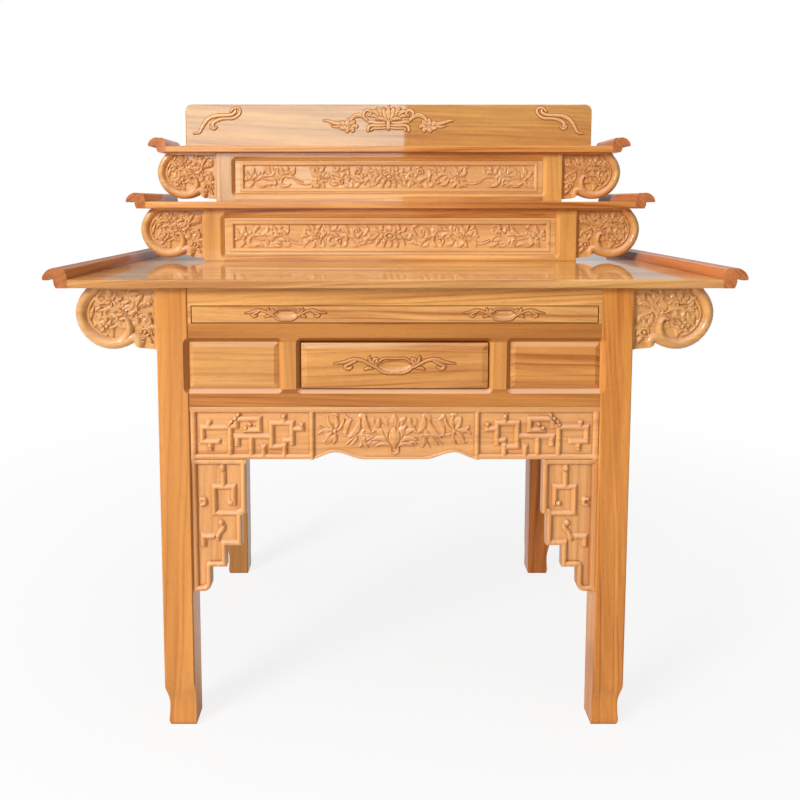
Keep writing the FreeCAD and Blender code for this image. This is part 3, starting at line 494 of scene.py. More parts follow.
# Painted shade in places lower than what is round them: how far round, in millimetres, and how dark
CLOSE_ROUND, CLOSE_DARK = 1.2, 0.42
WIDE_ROUND, WIDE_DARK = 3.5, 0.16
# Thin lip beside forms that stand on a flat face, with painted shadow at their foot: width and height in
# millimetres, and how dark
LIP_WIDTH, LIP_HEIGHT, LIP_DARK = 2.4, 0.14, 0.95
# How fast a finger pull's mouth falls away at its upper and its lower edge, in millimetres
STEEP_FALL, EASY_FALL = 2.2, 6.0
# Clearance of the plate that cuts a block to its outline, in millimetres
PLATE_CLEAR = 20.0
# Faces that meet at a larger angle keep a sharp edge
SMOOTH_ANGLE = math.radians(42.0)


def smooth_run(points, steps=7):
    """Smooth run through points that hold a place and a half width."""
    p = np.array(points, float)
    p = np.vstack([2 * p[0] - p[1], p, 2 * p[-1] - p[-2]])
    t = np.linspace(0, 1, steps, endpoint=False)[:, None]
    run = []
    for a, b, c, d in zip(p, p[1:], p[2:], p[3:]):
        run.append(0.5 * (2 * b + (c - a) * t + (2 * a - 5 * b + 4 * c - d) * t ** 2
                          + (3 * b - a - 3 * c + d) * t ** 3))
    run.append(p[-2:-1])
    run = np.vstack(run)
    run[:, 2] = np.maximum(run[:, 2], 0.25)
    return run


def bowed_run(points, steps=8):
    """Closed outline in millimetres; each point is x, z and the bow of the edge that leaves it."""
    run = []
    for (x, z, bow), (next_x, next_z, _) in zip(points, points[1:] + points[:1]):
        if bow == 0:
            run.append((x, z))
            continue
        dx, dz = next_x - x, next_z - z
        sweep = 4 * math.atan(2 * bow)
        for k in range(steps):
            a = sweep * (k / steps - 0.5)
            along = 0.5 + 0.5 * math.sin(a) / math.sin(sweep / 2)
            rise = (math.cos(a) - math.cos(sweep / 2)) / (2 * math.sin(sweep / 2))
            run.append((x + dx * along - dz * rise, z + dz * along + dx * rise))
    return run


def beside_line(start, end, x, z):
    """How far along a straight line places lie, as a share of it, and how far away from it."""
    (ax, az), (bx, bz) = start, end
    dx, dz = bx - ax, bz - az
    t = np.clip(((x - ax) * dx + (z - az) * dz) / (dx * dx + dz * dz + 1e-9), 0, 1)
    return t, np.hypot(x - ax - t * dx, z - az - t * dz)


def distance_from(run, x, z):
    """Distance of places from a run of straight lines."""
    return np.min([beside_line(start, end, x, z)[1] for start, end in zip(run, run[1:])], axis=0)


def blurred(values, cells):
    """Values averaged over a square of cells, twice."""
    width = 2 * cells + 1
    for _ in range(4):
        total = np.cumsum(np.pad(values, ((cells + 1, cells), (0, 0)), mode="edge"), axis=0)
        values = ((total[width:] - total[:-width]) / width).T
    return values


class Relief:
    """Heights of a carved field, in millimetres, over places in the table's width and height."""

    def __init__(self, left, right, low, high, ground=0.0, mirrored=False, crown=2.0):
        self.field = left, right, low, high
        xs = left + RELIEF_STEP * np.arange(round((right - left) / RELIEF_STEP) + 2)
        zs = low + RELIEF_STEP * np.arange(round((high - low) / RELIEF_STEP) + 2)
        x, self.z = np.meshgrid(xs, zs)
        self.x = -np.abs(x) if mirrored else x
        self.ground = ground
        self.crown = crown
        self.height = np.full(x.shape, float(ground))
        self.hollow = np.zeros(x.shape)

    def near(self, xs, zs, reach):
        return np.nonzero((self.x > np.min(xs) - reach) & (self.x < np.max(xs) + reach)
                          & (self.z > np.min(zs) - reach) & (self.z < np.max(zs) + reach))

    def raise_to(self, top):
        """Lifts what lies lower than the given heights."""
        self.height = np.maximum(self.height, top)

    def lay(self, picked, share, top, part=0.75):
        """Lays a form with a fine line cut round it; share is 0 in its middle and 1 at its edge."""
        below = self.height[picked]
        line = np.exp(-((share - LINE_PLACE) / LINE_WIDTH) ** 2)
        below = below - part * line * np.maximum(below - self.ground, 0)
        self.height[picked] = np.maximum(below, top)

    def stroke(self, points, height, crown=None, vein=0.0, part=0.6):
        """Rounded band along a smooth run of x, z and half width, with a vein cut along its middle."""
        run = smooth_run(points)
        picked = self.near(run[:, 0], run[:, 1], run[:, 2].max() * 1.7 + 1)
        x, z = self.x[picked], self.z[picked]
        share = np.full(x.shape, 9.0)
        for start, end in zip(run, run[1:]):
            t, away = beside_line(start[:2], end[:2], x, z)
            share = np.minimum(share, away / (start[2] + t * (end[2] - start[2])))
        top = height * (1 - share ** (crown or self.crown)) - vein * np.exp(-(share / 0.2) ** 2)
        self.lay(picked, share, top, part)

    def leaf(self, start, end, width, bend, height, vein=0.8, blunt=0.1, part=0.6):
        """Leaf or petal from its stalk to its tip, bowed sideways by a share of its length."""
        (ax, az), (bx, bz) = start, end
        dx, dz = bx - ax, bz - az
        points = []
        for t, w in ((0.0, 0.25), (0.25, 0.75), (0.55, 1.0), (0.8, 0.72), (1.0, blunt)):
            side = bend * 4 * t * (1 - t)
            points.append((ax + dx * t - dz * side, az + dz * t + dx * side, width * w))
        self.stroke(points, height, None, vein, part)

    def leaves(self, rows, height, vein=0.8, blunt=0.1, part=0.6):
        """Leaves laid one on another: each row is a stalk, tip, half width, bend and share of the height."""
        for start, end, width, bend, share in rows:
            self.leaf(start, end, width, bend, height * share, vein, blunt, part)

    def petals(self, root, rows, height, vein, blunt):
        """Petals that grow from one root: each row is a tip, a half width and a bend."""
        self.leaves([(root, *row, 1.0) for row in rows], height, vein, blunt)

    def strew(self, inside, count, size, height, seed):
        """Strews small leaves over the ground that is still bare."""
        dice = np.random.default_rng(seed)
        for _ in range(count):
            bare = np.argwhere(inside & (self.height < self.ground + 0.3 * height))
            row, column = bare[dice.integers(len(bare))]
            x, z = self.x[row, column], self.z[row, column]
            a = dice.uniform(0, 2 * math.pi)
            reach = size * dice.uniform(0.4, 0.65)
            c, s = reach * math.cos(a), reach * math.sin(a)
            self.leaf((x - c, z - s), (x + c, z + s), reach * dice.uniform(0.5, 0.7),
                      dice.uniform(-0.25, 0.25), height * dice.uniform(0.6, 0.85), 0.5, 0.2, part=0.25)

    def knob(self, x, z, radius, height):
        picked = self.near([x], [z], radius * 1.7)
        share = np.hypot(self.x[picked] - x, self.z[picked] - z) / radius
        self.lay(picked, share, height * (1 - share ** 2.4))

    def blossom(self, x, z, radius, petals, turn, height):
        """Open flower seen from the front."""
        for k in range(petals):
            a = math.radians(turn + 360 * k / petals)
            c, s = math.cos(a), math.sin(a)
            self.leaf((x + 0.18 * radius * c, z + 0.18 * radius * s), (x + radius * c, z + radius * s),
                      0.36 * radius, 0.06, height, 0.3 * height, 0.55)
        self.knob(x, z, 0.26 * radius, height * 1.15)

    def scroll(self, x, z, radius, start, turns, width, height):
        """Band that winds in to a small ball."""
        points = []
        for k in range(9):
            t = k / 8
            a = math.radians(start + 360 * turns * t)
            r = radius * (1 - 0.72 * t)
            points.append((x + r * math.cos(a), z + r * math.sin(a), width))
        self.stroke(points, height)
        self.knob(points[-1][0], points[-1][1], width * 1.25, height * 1.1)

    def fretwork(self, bars, half, height):
        """Square-cornered bands, each through points joined along X or Z."""
        for (ax, az), (bx, bz) in (line for corners in bars for line in zip(corners, corners[1:])):
            picked = self.near([ax, bx], [az, bz], half * 1.8)
            x = np.abs(self.x[picked] - (ax + bx) / 2) - abs(bx - ax) / 2
            z = np.abs(self.z[picked] - (az + bz) / 2) - abs(bz - az) / 2
            share = np.maximum(np.maximum(x, z), 0) / half
            self.height[picked] = np.maximum(self.height[picked], height * (1 - share ** 2))

    def bead(self, inward, width, height, foot):
        """Half-round bead by the distance in from an edge; at the edge itself it stands foot high."""
        share = 2 * inward / width - 1
        rounded = np.sqrt(np.clip(1 - share ** 2, 0, 1))
        top = np.where(share < 0, foot + (height - foot) * rounded, height * rounded)
        self.raise_to(np.where(inward > width, self.ground, top))

    def darken(self, close_full=0.9, wide_full=2.4):
        """Works out the painted shade of the hollows: it is darkest at these depths below what lies round a
        place.
        """
        close = blurred(self.height, round(CLOSE_ROUND / RELIEF_STEP)) - self.height
        wide = blurred(self.height, round(WIDE_ROUND / RELIEF_STEP)) - self.height
        dark = CLOSE_DARK * np.clip(close / close_full, 0, 1) + WIDE_DARK * np.clip(wide / wide_full, 0, 1)
        self.hollow = np.clip(dark, 0, 1)

    def line_round(self):
        """Paints shade in the hollows of forms that stand on a flat face, and a thin lip beside each of them
        with painted shadow at their foot.
        """
        self.darken(0.7, 2.0)
        raised = self.height > 0.02
        beside = blurred(raised.astype(float), round(LIP_WIDTH / RELIEF_STEP / 2)) > 0.02
        lip = beside & ~raised
        self.height = np.where(lip, np.maximum(self.height, LIP_HEIGHT), self.height)
        soft = blurred(lip.astype(float), 1)
        foot = np.exp(-np.maximum(self.height, 0) / 0.5)
        self.hollow = np.clip(np.maximum(self.hollow, LIP_DARK * np.maximum(soft * 1.6, beside * foot)), 0, 1)

    def scoop(self, mouth, depth, level):
        """Hollows out a finger pull's mouth, steep at its ends and upper edge and easy at its lower edge,
        with painted shadow below its upper edge.
        """
        rim = np.array(mouth)
        order = np.argsort(rim[:, 1])
        reach = np.interp(self.z, rim[order, 1], -rim[order, 0], 0.0, 0.0)
        inside = -self.x < reach
        away = distance_from(mouth, self.x, self.z)
        fall = np.where(self.z > level, STEEP_FALL, EASY_FALL)
        deep = -depth * (1 - np.exp(-away / fall * 1.6))
        self.height = np.where(inside, np.minimum(deep, 0.0), self.height)
        # Painted shadow inside the mouth, below its steep upper edge
        self.hollow = np.where(inside, 0.75 * np.exp(-away / STEEP_FALL) * (self.z > level), self.hollow)

    def sample(self, values, x, z):
        """Values at places between the cells."""
        left, _, low, _ = self.field
        column = np.clip((x - left) / RELIEF_STEP, 0, values.shape[1] - 1.001)
        row = np.clip((z - low) / RELIEF_STEP, 0, values.shape[0] - 1.001)
        i, j = column.astype(int), row.astype(int)
        u, v = column - i, row - j
        return ((1 - v) * ((1 - u) * values[j, i] + u * values[j, i + 1])
                + v * ((1 - u) * values[j + 1, i] + u * values[j + 1, i + 1]))


def pick(piece):
    """Selects one piece alone."""
    bpy.ops.object.select_all(action="DESELECT")
    piece.select_set(True)
    bpy.context.view_layer.objects.active = piece


def to_edit(piece):
    pick(piece)
    bpy.ops.object.mode_set(mode="EDIT")
    bpy.ops.mesh.select_all(action="SELECT")


def face_outwards():
    bpy.ops.mesh.select_all(action="SELECT")
    bpy.ops.mesh.normals_make_consistent(inside=False)


def to_object():
    bpy.ops.object.mode_set(mode="OBJECT")


def upright_grid(name, relief, front):
    """Grid over a relief's field that faces the front, added at its size and place in millimetres."""
    left, right, low, high = relief.field
    step = bpy.context.scene.altar_carving.grid_step / MM
    bpy.ops.object.select_all(action="DESELECT")
    bpy.ops.mesh.primitive_grid_add(
        x_subdivisions=round((right - left) / step), y_subdivisions=round((high - low) / step), size=1.0,
        location=((left + right) / 2 * MM, front * MM, (low + high) / 2 * MM),
        rotation=(math.pi / 2, 0.0, 0.0))
    piece = bpy.context.object
    piece.name = name
    piece.scale = ((right - left) * MM, (high - low) * MM, 1.0)
    bpy.ops.object.transform_apply(location=True, rotation=True, scale=True)
    return piece


def places(piece):
    """X and Z of a piece's points, in millimetres."""
    points = np.empty(len(piece.data.vertices) * 3)
    piece.data.vertices.foreach_get("co", points)
    points = points.reshape(-1, 3) / MM
    return points[:, 0], points[:, 2]


def apply_modifier(piece, kind, **options):
    """Adds a modifier to a piece and applies it."""
    modifier = piece.modifiers.new("shape", kind)
    for name, value in options.items():
        setattr(modifier, name, value)
    bpy.context.view_layer.objects.active = piece
    bpy.ops.object.modifier_apply(modifier=modifier.name)


def press(piece, axis, amounts, towards):
    """Moves every point along an axis by its own amount in millimetres."""
    most = amounts.max()
    group = piece.vertex_groups.new(name="depth")
    for index, share in enumerate((amounts / most).tolist()):
        group.add((index,), share, "REPLACE")
    apply_modifier(piece, "DISPLACE", direction=axis, strength=towards * most * MM, mid_level=0.0,
                   vertex_group=group.name)
    piece.vertex_groups.clear()


def close_back(piece, back):
    """Adds walls and a flat back, so that a carved face becomes a solid."""
    to_edit(piece)
    bpy.ops.mesh.region_to_loop()
    bpy.ops.mesh.extrude_edges_move(TRANSFORM_OT_translate={"value": (0.0, 0.001, 0.0)})
    bpy.ops.transform.resize(value=(1.0, 0.0, 1.0), center_override=(0.0, back * MM, 0.0))
    bpy.ops.mesh.edge_face_add()
    face_outwards()
    to_object()


def outline_plate(outline, front, back):
    """Solid plate of an outline, for cutting a carved block to shape."""
    bpy.ops.object.select_all(action="DESELECT")
    bpy.ops.mesh.primitive_circle_add(vertices=len(outline), radius=0.1, fill_type="NGON")
    plate = bpy.context.object
    for point, (x, z) in zip(plate.data.vertices, outline):
        point.co = (x * MM, front * MM, z * MM)
    to_edit(plate)
    bpy.ops.mesh.extrude_region_move(TRANSFORM_OT_translate={"value": (0.0, (back - front) * MM, 0.0)})
    face_outwards()
    to_object()
    return plate


def cut_to(piece, plate):
    """Keeps what lies inside a plate."""
    apply_modifier(piece, "BOOLEAN", operation="INTERSECT", solver="MANIFOLD", object=plate)
    bpy.data.objects.remove(plate)
    if not piece.data.polygons:
        raise RuntimeError(piece.name + " was cut away")


def store_painted_shade(piece, relief):
    """Keeps the painted shade of the hollows on the piece, for its material."""
    values = relief.sample(relief.hollow, *places(piece))
    layer = piece.data.attributes.new("hollow", "FLOAT", "POINT")
    layer.data.foreach_set("value", values.astype(np.float32))


def carved_block(name, relief, ground, back, lift=0.01, outline=None, rise=None):
    """Grid pressed to a relief, with a flat back; its lower edge may rise and an outline may cut it."""
    piece = upright_grid(name, relief, ground)
    if rise:
        press(piece, "Z", rise(*places(piece)), 1)
    press(piece, "Y", relief.sample(relief.height, *places(piece)) + lift, -1)
    close_back(piece, back)
    if outline:
        cut_to(piece, outline_plate(outline, ground - PLATE_CLEAR, back + PLATE_CLEAR))
    store_painted_shade(piece, relief)
    return piece


def raised_forms(name, relief, front, cover):
    """Forms that stand on a flat face; the ground between them lies hidden below that face."""
    deepest = -relief.height.min()
    return carved_block(name, relief, front + deepest, front + deepest + cover, deepest + 0.001)


def copied(piece, name, mirrored=False, move=(0.0, 0.0, 0.0)):
    """Copy with its own mesh, mirrored across the table's middle or moved, in millimetres."""
    pick(piece)
    bpy.ops.object.duplicate()
    copy = bpy.context.object
    copy.name = name
    to_edit(copy)
    if mirrored:
        bpy.ops.transform.resize(value=(-1.0, 1.0, 1.0), center_override=(0.0, 0.0, 0.0))
        bpy.ops.mesh.normals_make_consistent(inside=False)
    if any(move):
        bpy.ops.transform.translate(value=[part * MM for part in move])
    to_object()
    return copy


def settle(piece, node, body="table", stands_for=True):
    """Smooths a carved piece, gives it its node's wood and ties it to its body."""
    pick(piece)
    bpy.ops.object.shade_smooth_by_angle(angle=SMOOTH_ANGLE)
    dress(piece, wood_material(node, carved=True))
    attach(piece, body)
    if stands_for:
        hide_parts(node)


# Motifs, drawn in millimetres at their places on the left half of the table

# Half width of the fretwork bars
FRET_HALF = 6.0


def carve_apron_fret(relief, height):
    """Angular fretwork of the apron's left field."""
    bars = [
        [(-306, 586), (-358, 586), (-358, 559), (-329, 559)],
        [(-346, 586), (-346, 594)],
        [(-343, 559), (-343, 546)],
        [(-306, 587), (-306, 537)],
        [(-295, 590), (-295, 602), (-252, 602), (-252, 581), (-277, 581)],
        [(-306, 588), (-296, 588)],
        [(-295, 569), (-229, 569)],
        [(-293, 569), (-293, 554)],
        [(-267, 569), (-267, 537)],
        [(-229, 553), (-229, 594), (-191, 594), (-191, 561), (-204, 561)],
        [(-206, 594), (-206, 606)],
        [(-187, 583), (-173, 583), (-173, 590)],
        [(-244, 532), (-244, 548)],
        [(-229, 549), (-212, 549)],
        [(-205, 532), (-205, 552)],
        [(-191, 562), (-191, 556)],
    ]
    relief.fretwork(bars, FRET_HALF, height)
    relief.stroke([(-308, 591, 3.4), (-303, 597, 3.2), (-296, 603, 2.8), (-289, 611, 3.4)], height, 2.6)
    for x, z in ((-304, 597), (-297, 603), (-291, 610), (-343, 544), (-277, 585), (-269, 591), (-206, 607),
                 (-173, 592)):
        relief.knob(x, z, 3.8, height)


def carve_apron_lotus(relief, height):
    """Lotus spray of the apron's middle field; the right half mirrors the left."""
    for stem in ([(-6, 552, 1.8), (-30, 566, 1.9), (-60, 571, 2.0), (-92, 570, 1.9), (-112, 576, 1.7)],
                 [(-38, 569, 1.7), (-50, 562, 1.8), (-58, 556, 1.7)],
                 [(-70, 571, 1.7), (-80, 562, 1.7), (-90, 553, 1.4)]):
        relief.stroke(stem, height * 0.7)
    relief.petals((-111, 579), [
        ((-124, 605), 4.6, 0.12), ((-109, 607), 4.8, -0.1), ((-95, 604), 4.4, -0.2),
        ((-139, 588), 4.2, 0.2), ((-143, 573), 4.0, -0.15), ((-130, 556), 4.4, -0.12),
        ((-114, 554), 4.0, 0.1)], height, 0.8, 0.25)
    relief.knob(-111, 578, 4.2, height * 1.1)
    relief.leaves([
        ((-91, 569), (-80, 601), 6.2, 0.12, 0.9), ((-87, 566), (-64, 601), 7.0, -0.14, 1.0)], height, 1.0)
    relief.leaf((-44, 576), (-55, 606), 7.4, 0.14, height, 1.0, 0.35)
    relief.leaf((-42, 576), (-29, 603), 6.2, -0.14, height * 0.9, 1.0)
    relief.leaves([
        ((-58, 568), (-66, 548), 4.6, 0.14, 0.9),
        ((-55, 568), (-50, 548), 4.4, -0.14, 1.0)], height, 0.7, 0.3)
    relief.leaf((-70, 567), (-82, 552), 4.2, 0.1, height * 0.8, 0.7)
    relief.leaf((-6, 574), (-20, 604), 7.4, -0.1, height * 0.75, 0.8, 0.3)
    relief.leaf((0, 572), (0, 609), 9.4, 0.0, height * 0.85, 0.9, 0.15)
    relief.leaves([
        ((-5, 551), (-37, 582), 7.6, -0.16, 1.0), ((-4, 551), (-42, 562), 5.8, -0.2, 1.05),
        ((-3, 550), (-21, 588), 8.6, -0.12, 1.12)], height, 0.8, 0.25)
    relief.leaf((-3, 548), (-35, 550), 4.6, -0.16, height * 1.15, 0.7, 0.25)
    relief.leaf((0, 548), (0, 584), 10.0, 0.0, height * 1.25, 0.7, 0.3)
    relief.stroke([(-7, 546, 2.2), (-6, 539, 2.4), (0, 536, 2.6), (6, 539, 2.4)], height)


def carve_bracket(relief, height):
    """Fretwork of the left corner bracket, in from the leg."""
    bars = [
        [(-321, 512), (-321, 475)],
        [(-338, 471), (-302, 471), (-302, 439), (-309, 439)],
        [(-338, 471), (-338, 420), (-286, 420)],
        [(-295, 363), (-322, 363)],
        [(-334, 375), (-360, 375), (-360, 359)],
    ]
    relief.fretwork(bars, FRET_HALF, height)
    relief.stroke([(-325, 402, 5.4), (-322, 392, 5.4), (-330, 381, 5.0), (-333, 370, 4.6)], height)
    relief.stroke([(-364, 448, 3.4), (-357, 447, 4.4), (-356, 439, 4.4), (-363, 436, 3.4)], height)
    for x, z, size in ((-322, 508, 6.2), (-309, 440, 5.4), (-326, 402, 5.8)):
        relief.knob(x, z, size, height * 1.15)


def carve_tier(relief, height):
    """Flowers and leaves of a tier's panel, from its left end to its middle; z is from its middle line."""
    relief.stroke([(-352, -14, 2.2), (-325, -4, 2.2), (-300, -8, 2.2), (-275, -2, 2.2), (-250, 2, 2.2),
                   (-232, -12, 2.4), (-215, -18, 2.4), (-196, -17, 1.8)], height * 0.7)
    relief.stroke([(-246, 0, 1.7), (-232, -7, 1.7), (-219, -12, 1.4)], height * 0.6)
    relief.stroke([(-172, -4, 2.2), (-150, 8, 2.4), (-132, 14, 2.4), (-112, 12, 2.2), (-96, 2, 2.2),
                   (-80, -8, 2.4), (-56, -18, 2.2)], height * 0.7)
    # end flower
    relief.petals((-345, -2), [
        ((-366, -8), 6.4, -0.1), ((-362, 12), 7.4, 0.12), ((-344, 21), 7.8, 0.05),
        ((-326, 12), 7.4, -0.12), ((-352, -23), 6.4, 0.1)], height, 1.0, 0.5)
    relief.leaves([
        ((-346, -4), (-358, 4), 5.8, 0.1, 1.15), ((-346, -4), (-338, 8), 5.8, -0.1, 1.2)], height, 0.9, 0.5)
    relief.knob(-346, -5, 4.6, height * 1.2)
    # leaves behind it
    relief.leaves([
        ((-334, -8), (-304, 2), 5.8, 0.2, 1.0), ((-340, -14), (-308, -18), 5.8, -0.2, 1.0),
        ((-328, -20), (-298, -25), 4.4, 0.15, 0.8), ((-322, 2), (-308, 23), 5.4, 0.2, 0.9),
        ((-308, 2), (-288, 21), 5.8, -0.2, 1.0), ((-296, -4), (-290, -23), 5.4, 0.2, 1.0),
        ((-294, 0), (-272, -4), 4.8, 0.25, 1.0), ((-284, -6), (-256, -23), 5.4, -0.2, 0.9)], height, 0.9)
    # bud in its calyx
    relief.leaf((-262, 4), (-272, 23), 5.4, 0.2, height * 0.9, 0.8)
    relief.leaf((-258, 4), (-258, 26), 6.4, 0.0, height * 1.1, 0.9)
    relief.leaf((-256, 4), (-240, 21), 5.8, -0.2, height, 0.8)
    relief.leaf((-268, 6), (-246, 4), 4.6, 0.3, height * 1.2, 0.6)
    # second flower
    relief.petals((-174, 1), [
        ((-196, 12), 6.8, 0.1), ((-186, 25), 6.4, -0.1), ((-164, 26), 6.4, 0.12), ((-152, 10), 5.8, -0.2),
        ((-194, -8), 6.4, 0.1), ((-182, -25), 5.8, 0.1), ((-164, -25), 5.8, -0.1)], height, 1.0, 0.4)
    relief.blossom(-174, 1, 10, 5, 20, height * 1.2)
    # leaves of the second spray
    relief.leaves([
        ((-150, 4), (-122, -4), 5.4, 0.25, 1.0), ((-152, -8), (-130, -19), 5.4, -0.2, 1.0),
        ((-140, 14), (-126, 25), 4.8, -0.15, 0.9), ((-122, 14), (-100, 21), 5.4, 0.2, 1.0),
        ((-108, 8), (-104, -11), 4.8, 0.2, 1.0), ((-100, 0), (-72, -21), 6.4, 0.15, 1.0),
        ((-88, -2), (-58, -8), 4.8, -0.2, 1.0), ((-62, -20), (-46, -2), 5.4, 0.15, 1.0),
        ((-64, 2), (-52, 21), 5.0, -0.15, 0.9)], height, 0.9)
    relief.scroll(-120, -12, 8, 60, 0.9, 2.8, height)
    relief.scroll(-78, 12, 9, 200, -0.9, 3.0, height)
    # middle lotus
    relief.petals((-8, 0), [
        ((-20, 25), 7.2, 0.15), ((-36, 20), 7.2, 0.15), ((-46, 8), 7.2, 0.1), ((-46, -8), 6.8, -0.1),
        ((-34, -20), 6.8, -0.15), ((-16, -25), 6.8, -0.1)], height, 1.0, 0.35)
    relief.leaf((0, 4), (0, 27), 7.6, 0.0, height, 1.0, 0.3)
    relief.leaf((0, -4), (0, -26), 7.2, 0.0, height, 1.0, 0.3)
    relief.petals((-4, 0), [
        ((-24, 12), 6.8, 0.12), ((-28, -6), 6.8, -0.12), ((-11, 18), 6.2, 0.08),
        ((-14, -16), 6.2, -0.1)], height * 1.15, 0.9, 0.35)
    for side in (1, -1):
        relief.stroke([(-13, 0, 3.0), (-9, 5.5 * side, 3.0), (0, 7.5 * side, 3.0), (9, 5.5 * side, 3.0),
                       (13, 0, 3.0)], height * 1.25)
    relief.knob(0, 0, 6.0, height * 1.2)


def carve_board_middle(relief, height):
    """Lotus spray over the middle of the back board; the right half mirrors the left."""
    relief.stroke([(-169, 1217, 2.0), (-155, 1214, 3.4), (-139, 1209, 4.2), (-124, 1208, 4.0),
                   (-110, 1210, 3.6)], height, vein=0.5)
    relief.stroke([(-149, 1202, 1.6), (-137, 1200, 3.0), (-122, 1202, 3.0)], height * 0.9)
    relief.petals((-103, 1202), [
        ((-120, 1211), 6.2, 0.14), ((-122, 1197), 6.2, 0.14), ((-109, 1189), 6.2, 0.14),
        ((-93, 1190), 6.2, 0.14), ((-84, 1201), 6.0, 0.14), ((-91, 1213), 6.0, 0.14),
        ((-106, 1217), 6.2, 0.14)], height, 0.6, 0.75)
    relief.scroll(-103, 1203, 6.5, 30, 0.9, 2.2, height * 1.2)
    relief.stroke([(-53, 1213, 3.0), (-40, 1213, 4.0), (-27, 1210, 3.6), (-10, 1211, 2.8)], height * 0.8)
    relief.stroke([(-99, 1217, 3.4), (-91, 1226, 4.8), (-79, 1230, 5.2), (-68, 1227, 4.8), (-57, 1218, 4.0)],
                  height, vein=0.5)
    relief.stroke([(-64, 1224, 3.0), (-64, 1236, 3.6), (-56, 1243, 3.8), (-48, 1240, 3.6), (-46, 1232, 3.2),
                   (-52, 1229, 2.8)], height * 1.05)
    relief.stroke([(-53, 1190, 3.6), (-52, 1199, 3.8), (-43, 1204, 3.6), (-27, 1203, 3.4),
                   (-7, 1204, 2.8)], height)
    relief.stroke([(-45, 1191, 2.6), (-40, 1196, 2.8), (-27, 1196, 2.8), (-7, 1197, 2.4)], height * 0.9)
    relief.leaves([
        ((-4, 1213), (-45, 1228), 6.6, -0.14, 0.9), ((-4, 1214), (-42, 1240), 7.4, -0.12, 1.0),
        ((-4, 1216), (-29, 1247), 7.4, -0.06, 1.08), ((-3, 1218), (-13, 1248), 6.2, 0.04, 1.14),
        ((-3, 1214), (-31, 1220), 4.6, -0.14, 1.1)], height, 0.9, 0.45, 0.85)
    relief.leaf((0, 1218), (0, 1255.5), 5.8, 0.0, height * 1.25, 0.7, 0.2)
    relief.leaf((0, 1221), (0, 1191), 5.4, 0.0, height * 1.25, 0.7, 0.2)


def carve_board_corner(relief, height):
    """Curling tendril in the back board's upper left corner."""
    relief.stroke([(-510, 1182.5, 1.4), (-495, 1186, 3.0), (-485, 1203, 4.4), (-474, 1218, 4.8),
                   (-458, 1227, 4.4), (-432, 1230, 3.8), (-412, 1231, 3.6), (-401, 1237, 3.6),
                   (-400, 1243, 2.6)], height)
    relief.stroke([(-455, 1196, 2.5), (-460, 1206, 4.4), (-450, 1216, 4.2), (-432, 1221, 3.4),
                   (-406, 1222.5, 3.4), (-392, 1231, 3.4), (-387, 1241, 3.2), (-394, 1249, 2.8),
                   (-405, 1247, 2.8), (-411, 1240, 2.6)], height)
    relief.stroke([(-466, 1204, 2.0), (-463, 1197, 2.6), (-456, 1194, 2.6), (-450, 1199, 2.4)], height * 0.9)


def carve_pull(relief, middle, size, height, half_width, half_height):
    """Leaf scrolls round a finger pull; x is from its middle, and the right half mirrors the left."""
    def spot(x, z):
        return (x * size, middle + z * size)

    def at(x, z, width):
        return (*spot(x, z), width * size)

    a, b = half_width / size, half_height / size
    relief.stroke([at(-a - 3, 3, 1.6), at(-a + 1, -5, 2.2), at(-a * 0.55, -b - 1.0, 2.6),
                   at(0, -b - 1.8, 2.8)], height)
    relief.stroke([at(-a - 4, 1, 1.6), at(-a + 2, 6, 1.8), at(-a * 0.62, b + 1.6, 1.8), at(0, b + 1.8, 1.6)],
                  height * 0.7)
    relief.scroll(*spot(-a - 2, 9), 6 * size, 250, -0.9, 2.4 * size, height)
    relief.leaf(spot(-a - 6, 4), spot(-a - 14, 19), 3.2 * size, 0.2, height, 0.5)
    relief.stroke([at(-a - 3, -3, 2.2), at(-a - 14, 3, 2.4), at(-a - 28, 10, 2.8), at(-a - 44, 12, 3.0),
                   at(-a - 60, 7, 2.6), at(-a - 80, 4, 0.9)], height, vein=0.4)
    relief.stroke([at(-a - 40, 9, 2.4), at(-a - 54, 2, 2.6), at(-a - 60, -2, 2.8), at(-a - 54, -6, 2.8),
                   at(-a - 48, -3, 2.4)], height)
    relief.leaf(spot(-a - 8, -6), spot(-a - 24, -9), 2.8 * size, -0.2, height * 0.9, 0.4)


